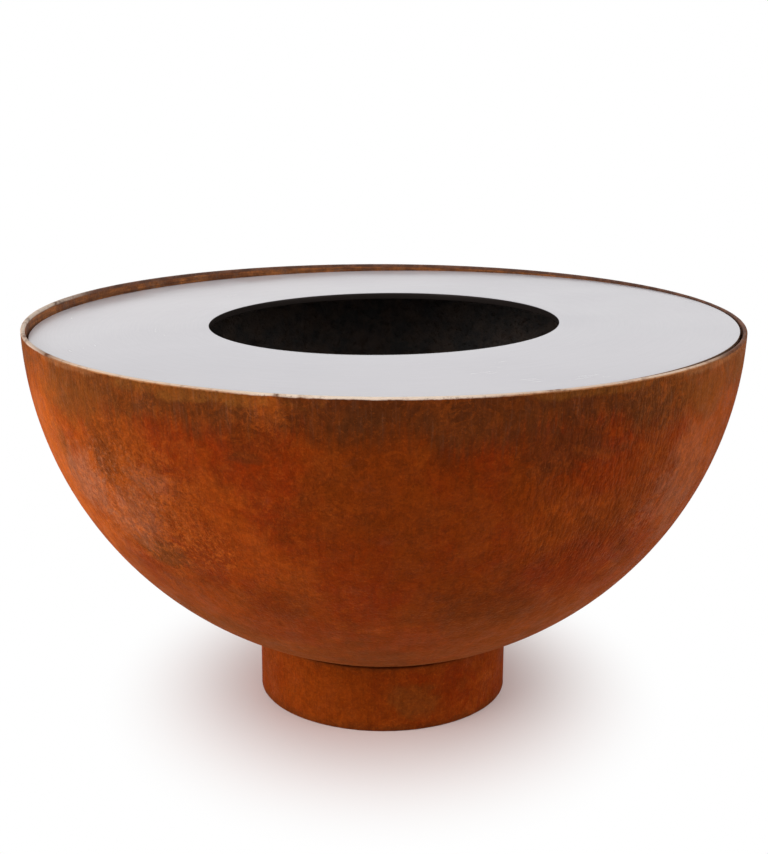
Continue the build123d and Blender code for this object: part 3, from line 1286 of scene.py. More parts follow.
@dataclass
class FireBowl:
    """Pressed bowl with a rounded, worn lip and a drain hole."""

    shell: Shell
    wall: float = 6.0 * MM
    skin_depth: float = 0.3 * MM
    lip_round: float = 2.2 * MM
    drain_radius: float = 12.0 * MM
    rows: int = 110
    steps: int = 256

    def section(self) -> list[Point]:
        """Section of the wall, from the drain up outside, over the lip and down inside.

        Returns:
            Its points as (reach, height).
        """
        centre = (0.0, self.shell.centre_height)
        outer = self.shell.radius
        inner = outer - self.wall
        drop = self.shell.centre_height - self.shell.lip_height
        low_outer = -math.degrees(math.acos(self.drain_radius / outer))
        low_inner = -math.degrees(math.acos(self.drain_radius / inner))
        top_outer = -math.degrees(math.asin((drop + self.lip_round) / outer))
        top_inner = -math.degrees(math.asin((drop + self.lip_round) / inner))
        outside = arc(centre, outer, low_outer, top_outer, self.rows)
        inside = arc(centre, inner, top_inner, low_inner, self.rows)
        first = outside[-1]
        last = inside[0]
        corner_height = self.shell.lip_height - self.lip_round
        outer_round = arc((first[0] - self.lip_round, corner_height), self.lip_round, 0.0, 90.0, 7)[1:]
        inner_round = arc((last[0] + self.lip_round, corner_height), self.lip_round, 90.0, 180.0, 7)[:-1]
        return outside + outer_round + inner_round + inside

    def build(self) -> bpy.types.Object:
        """Spin the wall and give it the relief of its rust.

        Returns:
            The bowl.
        """
        bowl = Bench.spun("bowl_shell", self.section(), self.steps)
        Bench.rough(bowl, 14 * MM, self.skin_depth, middle=1.0)
        Bench.smooth(bowl, 50.0)
        return bowl

    def dress(self, bowl: bpy.types.Object, outside: bpy.types.Material, inside: bpy.types.Material) -> None:
        """Give the outer and the inner wall their own materials.

        Args:
            bowl: The bowl.
            outside: Material of the outer wall and the lip.
            inside: Material of the inner wall.
        """
        dress(bowl, outside, inside)
        middle = Vector((0.0, 0.0, self.shell.centre_height))
        border = self.shell.radius - self.wall / 2
        for face in bowl.data.polygons:
            face.material_index = int((face.center - middle).length < border)


@dataclass
class BaseRing:
    """Rolled ring under the bowl, with its butt weld, its bead and its drain notch."""

    shell: Shell
    radius: float = 181.0 * MM
    wall: float = 8.0 * MM
    height: float = 94.3 * MM
    edge_round: float = 1.6 * MM
    bead: float = 6.0 * MM
    notch_radius: float = 20.0 * MM
    seam_azimuth: float = 128.0
    steps: int = 256

    def section(self) -> list[Point]:
        """Section of the strip and its bead, from the inner foot round.

        Returns:
            Its points as (reach, height).
        """
        inner = self.radius - self.wall
        turn = self.edge_round
        points = arc((inner + turn, turn), turn, 180.0, 270.0, 5)
        points += arc((self.radius - turn, turn), turn, -90.0, 0.0, 5)
        count = 24
        side = self.height - 2 * turn
        points += [(self.radius, turn + side * index / count) for index in range(1, count)]
        points += arc((self.radius - turn, self.height - turn), turn, 0.0, 90.0, 5)
        seat = self.shell.radius + 0.2 * MM
        for index in range(5):
            reach = inner - self.bead * index / 4
            points.append((reach, self.shell.centre_height - math.sqrt(seat ** 2 - reach ** 2)))
        sag = 0.8 * MM
        points.append((inner - self.bead / 2 + sag, self.height - self.bead / 2 - sag))
        points.append((inner, self.height - 1.2 * self.bead))
        rise = self.height - 1.2 * self.bead - turn
        points += [(inner, turn + rise * (1 - index / count)) for index in range(1, count)]
        return points

    def build(self) -> bpy.types.Object:
        """Spin the ring, cut its notch and give it the relief of its rust.

        Returns:
            The ring.
        """
        ring = Bench.spun("base_ring_strip", self.section(), self.steps)
        Bench.rough(ring, 13 * MM, 0.3 * MM, middle=1.0)
        Bench.clear()
        bpy.ops.mesh.primitive_cylinder_add(
            vertices=96,
            radius=self.notch_radius,
            depth=self.radius,
            location=(0.0, self.radius, 0.0),
            rotation=(math.pi / 2, 0.0, 0.0),
        )
        Bench.combine(ring, Bench.named("notch_tool"), "DIFFERENCE")
        Bench.smooth(ring, 40.0)
        return ring

    def build_seam(self) -> bpy.types.Object:
        """Lay the ground-down butt weld up the outside of the ring, at the back.

        Returns:
            The weld.
        """
        angle = math.radians(self.seam_azimuth)
        way = Vector((math.cos(angle), math.sin(angle), 0.0))
        count = 60
        low = 3.0 * MM
        high = self.height - 3.0 * MM
        places = [way * (self.radius - 2.2 * MM) + Vector((0, 0, low + (high - low) * i / count))
                  for i in range(count + 1)]
        seam = Bench.tube("base_ring_butt_weld", places, 3.2 * MM, [1.0] * len(places))
        Bench.rough(seam, 5 * MM, 1.2 * MM)
        Bench.smooth(seam, 60.0)
        return seam


@dataclass
class PlanchaPlate:
    """Cooking plate, lying on its leaning plane."""

    centre: Vector
    normal: Vector
    radius: float
    hole_radius: float = 246.0 * MM
    thickness: float = 10.0 * MM
    edge_round: float = 1.0 * MM
    steps: int = 256
    rows: int = 20

    def section(self) -> list[Point]:
        """Section of the plate, with its top at height 0.

        Returns:
            Its points as (reach, height).
        """
        turn = self.edge_round
        low = -self.thickness
        points = arc((self.radius - turn, -turn), turn, 0.0, 90.0, 5)
        width = self.radius - self.hole_radius - 2 * turn
        points += [(self.radius - turn - width * i / self.rows, 0.0) for i in range(1, self.rows)]
        points += arc((self.hole_radius + turn, -turn), turn, 90.0, 180.0, 5)
        points += arc((self.hole_radius + turn, low + turn), turn, 180.0, 270.0, 5)
        points += [(self.hole_radius + turn + width * i / self.rows, low) for i in range(1, self.rows)]
        points += arc((self.radius - turn, low + turn), turn, -90.0, 0.0, 5)
        return points

    def build(self) -> bpy.types.Object:
        """Spin the plate and lay it on its leaning plane.

        Returns:
            The plate.
        """
        plate = Bench.spun("plancha_ring", self.section(), self.steps)
        lean = Vector((0, 0, 1)).rotation_difference(self.normal).to_matrix().to_4x4()
        Bench.settle(plate, Matrix.Translation(self.centre) @ lean)
        Bench.smooth(plate, 40.0)
        return plate


@dataclass(frozen=True)
class Weld:
    """Rippled weld bead.

    Attributes:
        radius: Radius of the bead.
        pitch: Distance from ripple to ripple.
        step: Distance between its rings.
        ripple: Share of its radius by which it swells and shrinks.
        end_share: Share of its radius that is left at its ends.
    """

    radius: float = 2.5 * MM
    pitch: float = 2.4 * MM
    step: float = 0.8 * MM
    ripple: float = 0.13
    end_share: float = 0.55

    def lay(self, name: str, route: Route, length: float) -> bpy.types.Object:
        """Lay the bead along a route.

        Args:
            name: Name of the bead.
            route: Place for each share of the way, from 0 to 1.
            length: Length of the route.

        Returns:
            The bead.
        """
        count = max(round(length / self.step), 4)
        places = [route(index / count) for index in range(count + 1)]
        turns = [math.tau * index * self.step / self.pitch for index in range(count + 1)]
        swell = [1.0 + self.ripple * math.cos(turn) for turn in turns]
        for index, share in ((0, self.end_share), (-1, self.end_share), (1, 0.9), (-2, 0.9)):
            swell[index] *= share
        bead = Bench.tube(name, places, self.radius, swell)
        Bench.rough(bead, 6 * MM, 0.5 * MM)
        Bench.smooth(bead, 60.0)
        return bead

    def between(self, name: str, first: Vector, last: Vector) -> bpy.types.Object:
        """Lay the bead straight from one place to another.

        Args:
            name: Name of the bead.
            first: Where it starts.
            last: Where it ends.

        Returns:
            The bead.
        """
        return self.lay(name, lambda share: first.lerp(last, share), (last - first).length)


@dataclass
class Fastener:
    """Hexagon screw and nut with rolled threads, standing upright on the axis."""

    across: float = 19.0 * MM
    shank: float = 6.0 * MM
    length: float = 60.0 * MM
    fit: float = 0.05 * MM
    pitch: float = 1.75 * MM
    thread_depth: float = 0.9 * MM
    head: float = 9.0 * MM
    nut: float = 10.0 * MM
    dome: float = 0.3 * MM

    def hexagon(self, name: str, height: float, both: bool) -> bpy.types.Object:
        """Make a hexagon whose corners are turned off to a cone.

        Args:
            name: Name of the piece.
            height: Its height, from the ground up.
            both: Whether its lower corners are turned off too.

        Returns:
            The hexagon.
        """
        Bench.clear()
        bpy.ops.mesh.primitive_cylinder_add(vertices=6, radius=self.across / math.sqrt(3), depth=height,
                                            location=(0.0, 0.0, height / 2), rotation=(0.0, 0.0, math.pi / 6))
        piece = Bench.named(name)
        face = self.across / 2 * 0.95
        wide = self.across / math.sqrt(3) + 1.0 * MM
        drop = (wide - face) * math.tan(math.radians(30.0))
        top = [(wide, height - drop), (face, height - (0.0 if both else self.dome)),
               (face / 2, height - (0.0 if both else self.dome / 4)), (0.0, height)]
        foot = [(0.0, 0.0), (face, 0.0), (wide, drop)] if both else [(0.0, 0.0), (wide, 0.0)]
        Bench.combine(piece, Bench.spun("turned_corners", foot + top, 72, closed=False), "INTERSECT")
        return piece

    def threaded_rod(self, name: str, low: float, high: float) -> bpy.types.Object:
        """Wind a thread round the axis and cut its ends square.

        Args:
            name: Name of the piece.
            low: Height of its lower end.
            high: Height of its upper end.

        Returns:
            The rod, closed at both ends.
        """
        core = self.shank - self.thread_depth
        start = low - 1.5 * self.pitch
        flat = self.pitch * 0.12
        ridge = self.pitch / 2
        section = [
            (core, start),
            (core, start + flat),
            (self.shank, start + ridge),
            (self.shank, start + ridge + flat),
            (core, start + self.pitch),
        ]
        piece = Bench.chain(name, [Vector((reach, 0.0, height)) for reach, height in section], closed=False)
        bpy.ops.object.mode_set(mode="OBJECT")
        wind = piece.modifiers.new("wind", "SCREW")
        wind.angle = math.tau
        wind.screw_offset = self.pitch
        wind.iterations = math.ceil((high - low) / self.pitch) + 3
        wind.steps = 36
        wind.render_steps = 36
        wind.use_merge_vertices = True
        wind.merge_threshold = 0.01 * MM
        bpy.ops.object.modifier_apply(modifier=wind.name)
        bpy.ops.object.mode_set(mode="EDIT")
        for height, way in ((low, -1.0), (high, 1.0)):
            bpy.ops.mesh.select_all(action="SELECT")
            bpy.ops.mesh.bisect(
                plane_co=(0.0, 0.0, height),
                plane_no=(0.0, 0.0, way),
                use_fill=True,
                clear_outer=True,
            )
        bpy.ops.mesh.select_all(action="SELECT")
        bpy.ops.mesh.remove_doubles(threshold=0.01 * MM)
        bpy.ops.mesh.normals_make_consistent(inside=False)
        bpy.ops.object.mode_set(mode="OBJECT")
        return piece

    def screw(self, name: str, length: float) -> bpy.types.Object:
        """Make the screw, its head's foot at height 0.

        Args:
            name: Name of the piece.
            length: Length of its shank.

        Returns:
            The screw.
        """
        piece = self.hexagon(name, self.head, both=False)
        rod = self.threaded_rod("rolled_thread", -length, 1.0 * MM)
        point = self.shank - self.thread_depth
        room = [(0.0, -length), (point, -length), (self.shank + 0.2 * MM, -length + 1.4 * MM),
                (self.shank + 0.2 * MM, 2.0 * MM), (0.0, 2.0 * MM)]
        Bench.combine(rod, Bench.spun("turned_point", room, 72, closed=False), "INTERSECT")
        Bench.combine(piece, rod, "UNION")
        Bench.smooth(piece, 25.0)
        return piece

    def lock_nut(self, name: str) -> bpy.types.Object:
        """Make the nut, its foot at height 0.

        Args:
            name: Name of the piece.

        Returns:
            The nut.
        """
        piece = self.hexagon(name, self.nut, both=True)
        bore = self.shank + self.fit
        chamfer = 0.9 * MM
        over = 1.0 * MM
        wide = bore + chamfer
        room = [
            (0.0, -over),
            (wide, -over),
            (wide, 0.0),
            (bore, chamfer),
            (bore, self.nut - chamfer),
            (wide, self.nut),
            (wide, self.nut + over),
            (0.0, self.nut + over),
        ]
        Bench.combine(piece, Bench.spun("bore_tool", room, 72, closed=False), "DIFFERENCE")
        Bench.smooth(piece, 25.0)
        return piece


@dataclass
class PlateSupport:
    """Pad and gusset on the inner wall, modelled at azimuth 0, with their weld beads."""

    wall: Shell
    pad_top: float
    pad_low: float
    screw_reach: float
    gap: float = 0.2 * MM
    pad_width: float = 40.0 * MM
    clip: float = 12.0 * MM
    hole_radius: float = 6.05 * MM
    gusset_thickness: float = 8.0 * MM
    gusset_height: float = 62.0 * MM
    gusset_nose: float = 8.0 * MM
    gusset_start: float = 16.0 * MM
    edge_round: float = 0.7 * MM

    def on_wall(self, side: float, height: float, off: float) -> Vector:
        """Point just off the inner wall.

        Args:
            side: Distance sideways from the support's middle.
            height: Height over the ground.
            off: Distance from the wall towards the axis.

        Returns:
            The point.
        """
        reach = self.wall.place(0.0, height).x - off
        return Vector((math.sqrt(reach ** 2 - side ** 2), side, height))

    def room(self) -> bpy.types.Object:
        """Fill the inside of the wall round the support, for crossing with its pieces.

        Returns:
            The filling.
        """
        low = self.pad_low - self.gusset_height - 10 * MM
        high = self.pad_top + 10 * MM
        rows = 24
        points = [(0.0, low)]
        for index in range(rows + 1):
            height = low + (high - low) * index / rows
            points.append((self.wall.place(0.0, height).x - self.gap, height))
        points.append((0.0, high))
        return Bench.spun("wall_room", points, 256, closed=False)

    def pad(self) -> bpy.types.Object:
        """Make the pad with its clipped corners and its hole.

        Returns:
            The pad.
        """
        inner = self.screw_reach - self.pad_width / 2
        half = self.pad_width / 2
        plan = [(inner, half - self.clip), (inner, self.clip - half), (inner + self.clip, -half),
                (self.wall.radius, -half), (self.wall.radius, half), (inner + self.clip, half)]
        corners = [Vector((x, y, self.pad_low)) for x, y in plan]
        pad = Bench.slab("screw_pad", corners, Vector((0, 0, self.pad_top - self.pad_low)))
        Bench.combine(pad, self.room(), "INTERSECT")
        foot = Vector((self.screw_reach, 0.0, self.pad_low - 5 * MM))
        head = Vector((self.screw_reach, 0.0, self.pad_top + 5 * MM))
        Bench.combine(pad, Bench.drum("hole_tool", self.hole_radius, foot, head), "DIFFERENCE")
        Bench.bevel(pad, self.edge_round)
        Bench.smooth(pad)
        return pad

    def gusset(self) -> bpy.types.Object:
        """Make the three-sided rib under the pad.

        Returns:
            The gusset.
        """
        top = self.pad_low - self.gap
        foot = top - self.gusset_height
        start = self.screw_reach + self.gusset_start
        side = -self.gusset_thickness / 2
        foot_reach = self.wall.place(0.0, foot).x - self.gap
        profile = [
            (start, top),
            (start, top - self.gusset_nose),
            (foot_reach, foot),
            (self.wall.radius, foot),
            (self.wall.radius, top),
        ]
        corners = [Vector((x, side, z)) for x, z in profile]
        gusset = Bench.slab("pad_gusset", corners, Vector((0, self.gusset_thickness, 0)))
        Bench.combine(gusset, self.room(), "INTERSECT")
        Bench.bevel(gusset, self.edge_round)
        Bench.smooth(gusset)
        return gusset

    def welds(self) -> bpy.types.Object:
        """Lay the beads that hold pad and gusset.

        Returns:
            All beads as one piece.
        """
        weld = Weld()
        off = 1.0 * MM
        half = self.pad_width / 2 - 1.5 * MM
        rib = self.gusset_thickness / 2
        low = self.pad_low - self.gusset_height + 2 * MM
        rise = self.gusset_height - 4 * MM
        start = self.screw_reach + self.gusset_start + 3 * MM
        beads = [weld.lay(
            "over_pad",
            lambda s: self.on_wall(half * (2 * s - 1), self.pad_top + off, off),
            2 * half,
        )]
        for way in (-1, 1):
            side = way * (rib + off)
            beads.append(weld.lay(
                "under_pad",
                lambda s: self.on_wall(way * (rib + (half - rib) * s), self.pad_low - off, off),
                half - rib,
            ))
            beads.append(weld.lay(
                "along_rib",
                lambda s: self.on_wall(side, low + rise * s, off),
                self.gusset_height,
            ))
            near = Vector((start, side, self.pad_low - off))
            far = self.on_wall(side, self.pad_low - off, 3 * MM)
            beads.append(weld.between("rib_to_pad", near, far))
        return Bench.join("support_beads", beads)


@dataclass
class LogGrate:
    """Loose log grate: hoop, square bars, cross bars on edge and legs, welded together."""

    hoop_radius: float
    hoop_foot: float
    top: float
    leg_foot: float
    hoop_thickness: float = 6.0 * MM
    gap: float = 0.2 * MM
    bar_side: float = 12.0 * MM
    bar_count: int = 7
    cross_height: float = 20.0 * MM
    cross_thickness: float = 8.0 * MM
    cross_offset: float = 100.0 * MM
    leg_side: float = 14.0 * MM
    leg_overlap: float = 20.0 * MM
    leg_azimuths: tuple[float, ...] = (45.0, 135.0, 225.0, 315.0)
    edge_round: float = 1.1 * MM

    def inner(self) -> float:
        """Inner radius of the hoop."""
        return self.hoop_radius - self.hoop_thickness

    def bar_places(self) -> list[float]:
        """Sideways places of the square bars."""
        pitch = 2 * self.inner() / (self.bar_count + 1)
        return [index * pitch - self.inner() for index in range(1, self.bar_count + 1)]

    def hoop(self) -> bpy.types.Object:
        """Spin the hoop with its rolled edges.

        Returns:
            The hoop.
        """
        turn = self.edge_round
        inner = self.inner()
        points = arc((inner + turn, self.hoop_foot + turn), turn, 180.0, 270.0, 4)
        points += arc((self.hoop_radius - turn, self.hoop_foot + turn), turn, -90.0, 0.0, 4)
        points += arc((self.hoop_radius - turn, self.top - turn), turn, 0.0, 90.0, 4)
        points += arc((inner + turn, self.top - turn), turn, 90.0, 180.0, 4)
        hoop = Bench.spun("rolled_hoop", points, 192)
        Bench.smooth(hoop)
        return hoop

    def fitted(self, bar: bpy.types.Object) -> bpy.types.Object:
        """Cut a bar to the inside of the hoop and round its edges.

        Args:
            bar: The bar.

        Returns:
            The same bar.
        """
        low = Vector((0.0, 0.0, self.hoop_foot - 20 * MM))
        high = Vector((0.0, 0.0, self.top + 20 * MM))
        Bench.combine(bar, Bench.drum("hoop_room", self.inner() - self.gap, low, high, 256), "INTERSECT")
        Bench.bevel(bar, self.edge_round)
        Bench.smooth(bar)
        return bar

    def bar(self, index: int) -> bpy.types.Object:
        """Make one square bar, from front to back.

        Args:
            index: Its number, from 0 at the left.

        Returns:
            The bar.
        """
        middle = self.bar_places()[index]
        half = self.bar_side / 2
        low = Vector((middle - half, -self.hoop_radius, self.top - self.bar_side))
        high = Vector((middle + half, self.hoop_radius, self.top))
        return self.fitted(Bench.block(f"square_bar_{index + 1}", low, high))

    def cross_bar(self, name: str, offset: float) -> bpy.types.Object:
        """Make one flat bar on edge, from side to side.

        Args:
            name: Name of the piece.
            offset: Its place from front to back.

        Returns:
            The bar.
        """
        high = self.top - self.bar_side - self.gap
        half = self.cross_thickness / 2
        low_corner = Vector((-self.hoop_radius, offset - half, high - self.cross_height))
        high_corner = Vector((self.hoop_radius, offset + half, high))
        return self.fitted(Bench.block(name, low_corner, high_corner))

    def leg(self) -> bpy.types.Object:
        """Make the leg at azimuth 0.

        Returns:
            The leg.
        """
        half = self.leg_side / 2
        outer = math.sqrt((self.inner() - self.gap) ** 2 - half ** 2)
        low = Vector((outer - self.leg_side, -half, self.leg_foot))
        high = Vector((outer, half, self.hoop_foot + self.leg_overlap))
        leg = Bench.block("square_leg", low, high)
        Bench.bevel(leg, self.edge_round)
        Bench.smooth(leg)
        return leg

    def on_hoop(self, x: float, way: float, height: float, off: float) -> Vector:
        """Point just inside the hoop, in front (-1) or at the back (1)."""
        return Vector((x, way * math.sqrt((self.inner() - off) ** 2 - x ** 2), height))

    def welds(self) -> bpy.types.Object:
        """Lay the beads at every joint of the grate.

        Returns:
            All beads as one piece.
        """
        weld = Weld(radius=1.9 * MM)
        off = 0.7 * MM
        half = self.bar_side / 2
        under = self.top - self.bar_side
        beads = []
        for x in self.bar_places():
            for side in (-1, 1):
                for way in (-1, 1):
                    edge = x + side * (half + off)
                    beads.append(weld.between("bar_end", self.on_hoop(edge, way, under + 2 * MM, off),
                                              self.on_hoop(edge, way, self.top - 2 * MM, off)))
                    y = side * self.cross_offset + way * (self.cross_thickness / 2 + off)
                    beads.append(weld.between("crossing", Vector((x - half + MM, y, under - off)),
                                              Vector((x + half - MM, y, under - off))))
        cross_top = under - self.gap
        for side in (-1, 1):
            for way in (-1, 1):
                for face in (-1, 1):
                    y = side * self.cross_offset + face * (self.cross_thickness / 2 + off)
                    x = way * math.sqrt((self.inner() - off) ** 2 - y ** 2)
                    low = Vector((x, y, cross_top - self.cross_height + 2 * MM))
                    beads.append(weld.between("cross_end", low, Vector((x, y, cross_top - 2 * MM))))
        leg_edge = self.leg_side / 2 + off
        reach = math.sqrt((self.inner() - off) ** 2 - leg_edge ** 2)
        for azimuth in self.leg_azimuths:
            turn = Matrix.Rotation(math.radians(azimuth), 3, "Z")
            for way in (-1, 1):
                low = turn @ Vector((reach, way * leg_edge, self.hoop_foot + 2 * MM))
                high = turn @ Vector((reach, way * leg_edge, self.hoop_foot + self.leg_overlap - 2 * MM))
                beads.append(weld.between("leg_side", low, high))
        return Bench.join("grate_beads", beads)


@dataclass
class Studio:
    """Pale floor, soft lights and the camera at the photograph's place."""

    frame_height: int = 854
    focal_pixels: float = 1450.22
    sensor: float = 36.0
    eye: Vector = Vector((-0.0003, -2.0217, 0.9194))
    pitch: float = 14.676
    yaw: float = 0.028
    roll: float = -0.209

    def aim(self) -> None:
        """Set the camera as fitted to the photograph."""
        data = bpy.data.cameras.new("camera")
        data.sensor_width = self.sensor
        data.lens = self.focal_pixels / self.frame_height * self.sensor
        camera = bpy.data.objects.new("camera", data)
        bpy.context.scene.collection.objects.link(camera)
        turn = Matrix.Rotation(math.radians(-self.yaw), 4, "Z")
        tilt = Matrix.Rotation(math.radians(90.0 - self.pitch), 4, "X")
        roll = Matrix.Rotation(math.radians(-self.roll), 4, "Z")
        camera.matrix_world = Matrix.Translation(self.eye) @ turn @ tilt @ roll
        bpy.context.scene.camera = camera

    def sky(self) -> None:
        """White surroundings, with a softer light on rough surfaces."""
        world = bpy.data.worlds.new("studio")
        bpy.context.scene.world = world
        world.use_nodes = True
        wires = Wiring(world.node_tree)
        strength = wires.between(wires.background_rays(), 0.0, 1.0, 0.52, 1.0)
        background = world.node_tree.nodes["Background"]
        wires.feed(background.inputs["Color"], (1.0, 1.0, 1.0))
        wires.feed(background.inputs["Strength"], strength)

    def lamp(self, name: str, place: Vector, size: tuple[float, float], power: float) -> None:
        """Hang a soft light that looks at the bowl.

        Args:
            name: Name of the lamp.
            place: Where it hangs.
            size: Its width and height.
            power: Power in watts.
        """
        data = bpy.data.lights.new(name, "AREA")
        data.shape = "RECTANGLE"
        data.size, data.size_y = size
        data.energy = power
        lamp = bpy.data.objects.new(name, data)
        bpy.context.scene.collection.objects.link(lamp)
        lamp.location = place
        aim = Vector((0.0, 0.0, 0.3)) - place
        lamp.rotation_euler = aim.to_track_quat("-Z", "Y").to_euler()

    def floor(self) -> None:
        """Lay the white floor, which keeps the object's shadow and fades to pure white."""
        Bench.clear()
        bpy.ops.mesh.primitive_plane_add(size=60.0, location=(0.0, 0.0, 0.0))
        floor = Bench.named("floor")
        material, wires, shader = new_material("floor_paper", Roughness=0.9, Specular_IOR_Level=0.0)
        # The floor's pinkish tint is painted bounce light: it stands in for the warm light that the rusty
        # bowl throws into its shadow.
        wires.feed(shader.inputs["Base Color"], (0.95, 0.825, 0.795))
        far = wires.between(wires.level((1.22, 1.03, 0.0))[1], 0.15, 0.52)
        glow = wires.add("Emission", {"Color": (1.0, 1.0, 1.0), "Strength": 1.0})
        share = wires.times(far, wires.background_rays())
        mixed = wires.add("MixShader", {0: share, 1: shader.outputs[0], 2: glow.outputs[0]})
        output = material.node_tree.nodes["Material Output"]
        wires.feed(output.inputs["Surface"], mixed.outputs[0])
        dress(floor, material)

    def build(self) -> None:
        """Set up the whole studio."""
        self.aim()
        self.sky()
        self.floor()
        self.lamp("key", Vector((-2.9, -1.6, 1.4)), (3.2, 2.4), 84.0)
        self.lamp("fill", Vector((2.9, -1.2, 1.4)), (3.2, 2.4), 48.0)
        self.lamp("top", Vector((0.0, 0.4, 3.2)), (4.4, 4.4), 38.0)
        settings = bpy.context.scene.view_settings
        settings.view_transform = "Standard"


def bowl_patches(steel: WeatheringSteel) -> tuple[Patch, ...]:
    """Single patches of the bowl's wall, as it has weathered.

    Args:
        steel: The finish, for its colours.

    Returns:
        The patches, lowest first.
    """
    return (
        # The first two patches lighten the bowl's left edge: the orange one is partly orange rust and partly
        # painted light, the bright one is a painted highlight.
        Patch(-152.0, 0.43, 0.120, steel.orange, 0.60, 1.8),
        Patch(-154.0, 0.37, 0.130, steel.bright, 0.42, 1.6),
        Patch(-136.0, 0.40, 0.130, steel.orange, 0.65, 1.0),
        Patch(-118.0, 0.385, 0.100, steel.orange, 0.50, 1.0),
        Patch(-108.0, 0.325, 0.080, steel.orange, 0.40, 0.8),
        Patch(-110.0, 0.27, 0.070, steel.brown, 0.35, 0.6),
        Patch(-124.0, 0.25, 0.090, steel.orange, 0.35, 0.8),
        Patch(-128.0, 0.480, 0.060, steel.orange, 0.30, 0.5),
        Patch(-64.0, 0.385, 0.080, steel.orange, 0.30, 0.6),
        Patch(-134.0, 0.44, 0.036, steel.brown, 0.60, 1.6),
        Patch(-146.0, 0.43, 0.030, steel.olive, 0.55, 1.8),
        Patch(-127.0, 0.325, 0.060, steel.brown, 0.70, 0.5),
        Patch(-127.0, 0.325, 0.050, steel.olive, 0.45, 0.5),
        Patch(-141.0, 0.400, 0.070, steel.pink, 0.75, 0.9),
        Patch(-131.0, 0.375, 0.075, steel.pink, 0.65, 0.7),
        Patch(-125.0, 0.425, 0.045, steel.pink, 0.50, 0.6),
        Patch(-119.0, 0.350, 0.080, steel.rust, 0.50, 0.7),
        Patch(-133.0, 0.385, 0.110, steel.peach, 0.30, 0.9, Cover.FLECKS, 2.0, 30.0),
        Patch(-119.0, 0.345, 0.080, steel.bright, 0.50, 0.6, Cover.FLECKS, 2.2, 30.0),
        Patch(-128.0, 0.40, 0.130, steel.bright, 0.30, 1.0, Cover.VEINS, 1.8, 30.0),
        Patch(-108.0, 0.475, 0.030, steel.dark, 0.45, 0.3),
        Patch(-105.0, 0.543, 0.024, steel.orange, 0.50, 0.6, Cover.SOFT, 2.4, 50.0),
        Patch(-106.0, 0.524, 0.040, steel.bright, 0.26, 0.9, Cover.VEINS, 2.0, 50.0),
        Patch(-107.0, 0.495, 0.040, steel.brown, 0.50, 0.7),
        Patch(-93.0, 0.520, 0.050, steel.dark, 0.35, 0.6),
        Patch(-64.0, 0.485, 0.090, steel.dark, 0.60, 0.45),
        Patch(-50.0, 0.500, 0.070, steel.dark, 0.45, 0.50),
        Patch(-52.0, 0.44, 0.090, steel.orange, 0.12, 0.8),
        Patch(-72.0, 0.255, 0.110, steel.brown, 0.40, 0.6),
        Patch(-38.0, 0.40, 0.080, steel.pink, 0.60, 1.4),
        Patch(-44.0, 0.375, 0.070, steel.peach, 0.18, 0.9, Cover.FLECKS, 2.0, 30.0),
        Patch(-34.0, 0.46, 0.090, steel.orange, 0.45, 1.2),
        Patch(-36.0, 0.505, 0.060, steel.olive, 0.60, 0.6),
        Patch(-141.0, 0.510, 0.090, steel.olive, 0.70, 0.5),
        Patch(-141.0, 0.550, 0.110, steel.tan, 0.34, 0.07),
        Patch(-116.0, 0.546, 0.150, steel.gold, 0.50, 0.10),
        Patch(-62.0, 0.548, 0.110, steel.gold, 0.45, 0.09),
        Patch(-36.0, 0.550, 0.120, steel.tan, 0.30, 0.07),
    )


def turned(azimuth: float, place: Vector = Vector()) -> Matrix:
    """Matrix that turns about the upright axis and then moves."""
    return Matrix.Translation(place) @ Matrix.Rotation(math.radians(azimuth), 4, "Z")


def build_supports(shell: Shell) -> None:
    """Build and dress pads, gussets, beads, screws and nuts, each modelled once and copied.

    Args:
        shell: The bowl's outer wall.
    """
    wall = replace(shell, radius=shell.radius - FireBowl.wall)
    pad_low, pad_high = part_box("support_pad_1")
    middles = []
    for index in range(1, SUPPORT_COUNT + 1):
        low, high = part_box(f"levelling_screw_{index}")
        middles.append((low + high) / 2)
    reach = math.hypot(middles[0].x, middles[0].y)
    maker = PlateSupport(wall, pad_high.z, pad_low.z, reach)
    fastener = Fastener()
    black = FireSteel("sooted_black_steel", (0.014, 0.012, 0.011)).material()
    beaded = FireSteel("sooted_weld", (0.030, 0.026, 0.025), rust_share=0.55, rough=0.5).material()
    zinc = FireSteel("dulled_zinc", (0.150, 0.145, 0.138), rust_share=0.2, metallic=1.0, rough=0.42)
    zinc = zinc.material()
    pad = maker.pad()
    gusset = maker.gusset()
    beads = maker.welds()
    screw = fastener.screw("levelling_bolt", fastener.length)
    nut = fastener.lock_nut("jam_nut")
    for index, middle in enumerate(middles, start=1):
        azimuth = math.degrees(math.atan2(middle.y, middle.x))
        body = Body.SCREW.value.format(index)
        head_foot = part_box(f"levelling_screw_{index}")[1].z - fastener.head
        nut_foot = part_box(f"lock_nut_{index}")[0].z
        for piece, name, finish, node in (
            (pad, "screw_pad", black, "support_pad"),
            (gusset, "pad_gusset", black, "support_gusset"),
        ):
            copy = Bench.copy(piece, f"{name}_{index}", turned(azimuth))
            dress(copy, finish)
            finish_piece(copy, Body.BOWL.value, (f"{node}_{index}",))
        copy = Bench.copy(beads, f"support_beads_{index}", turned(azimuth))
        dress(copy, beaded)
        finish_piece(copy, Body.BOWL.value)
        for piece, name, foot, node in (
            (screw, "levelling_bolt", head_foot, "levelling_screw"),
            (nut, "jam_nut", nut_foot, "lock_nut"),
        ):
            copy = Bench.copy(piece, f"{name}_{index}", turned(azimuth, Vector((middle.x, middle.y, foot))))
            dress(copy, zinc)
            finish_piece(copy, body, (f"{node}_{index}",))
    for piece in (pad, gusset, beads, screw, nut):
        bpy.data.objects.remove(piece)


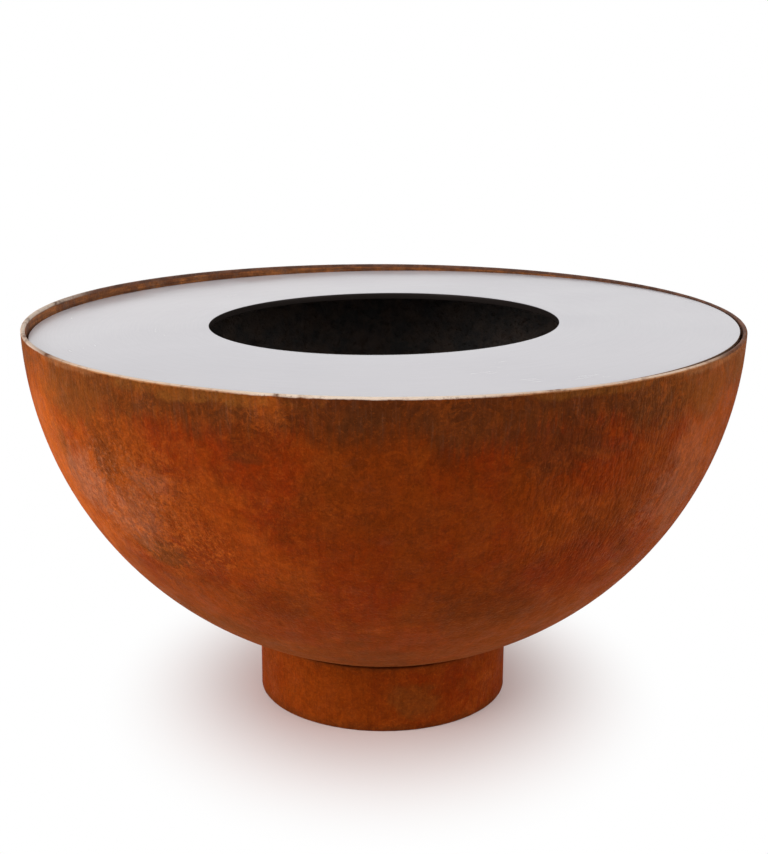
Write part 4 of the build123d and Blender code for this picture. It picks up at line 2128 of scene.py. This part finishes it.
def build_grate() -> None:
    """Build and dress the log grate."""
    hoop_low, hoop_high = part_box("grate_hoop")
    leg_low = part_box("grate_leg_1")[0]
    maker = LogGrate(hoop_high.x, hoop_low.z, hoop_high.z, leg_low.z)
    burnt = FireSteel("burnt_grate_steel", (0.022, 0.018, 0.016), rust_share=0.5).material()
    pieces = [(maker.hoop(), "grate_hoop")]
    pieces += [(maker.bar(index), f"grate_bar_{index + 1}") for index in range(maker.bar_count)]
    pieces.append((maker.cross_bar("cross_bar_front", -maker.cross_offset), "grate_cross_bar_front"))
    pieces.append((maker.cross_bar("cross_bar_back", maker.cross_offset), "grate_cross_bar_back"))
    leg = maker.leg()
    for index, azimuth in enumerate(maker.leg_azimuths, start=1):
        pieces.append((Bench.copy(leg, f"square_leg_{index}", turned(azimuth)), f"grate_leg_{index}"))
    bpy.data.objects.remove(leg)
    for piece, node in pieces:
        dress(piece, burnt)
        finish_piece(piece, Body.GRATE.value, (node,))
    beads = maker.welds()
    dress(beads, FireSteel("burnt_weld", (0.040, 0.034, 0.032), rust_share=0.6, rough=0.5).material())
    finish_piece(beads, Body.GRATE.value)


def main() -> None:
    """Build and dress every sub-assembly, then the studio."""
    logging.basicConfig(level=logging.INFO, format="%(name)s: %(message)s")
    low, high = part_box("fire_bowl")
    ring_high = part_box("base_ring")[1]
    reach = min(high.x, high.y, -low.x, -low.y)
    centre_over_lip = 10.0 * MM
    radius = math.hypot(reach, centre_over_lip) - INSET
    shell = Shell(radius, high.z + centre_over_lip, high.z, ring_high.z)
    steel = WeatheringSteel(shell)

    bowl_maker = FireBowl(shell)
    bowl = bowl_maker.build()
    bowl_maker.dress(bowl, steel.for_bowl(bowl_patches(steel)), steel.for_inner_lip())
    finish_piece(bowl, Body.BOWL.value, ("fire_bowl",))

    ring_maker = BaseRing(shell)
    ring = ring_maker.build()
    ring_steel = steel.for_ring()
    dress(ring, ring_steel)
    finish_piece(ring, Body.BOWL.value, ("base_ring",))
    seam = ring_maker.build_seam()
    dress(seam, ring_steel)
    finish_piece(seam, Body.BOWL.value)

    surface = next(m for m in frame["record"]["mounts"] if m["name"] == "cooking_surface")
    normal = Vector(surface["axis"])
    point = Vector(surface["pos_m"])
    centre = Vector((0.0, 0.0, point.z + (normal.x * point.x + normal.y * point.y) / normal.z))
    plate_low, plate_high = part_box("plancha_plate")
    plate = PlanchaPlate(centre, normal, (plate_high.x - plate_low.x) / 2 - INSET).build()
    dress(plate, GroundSteel().material())
    finish_piece(plate, Body.PLATE.value, ("plancha_plate",))

    build_supports(shell)
    build_grate()
    Studio().build()


if __name__ == "__main__":
    main()
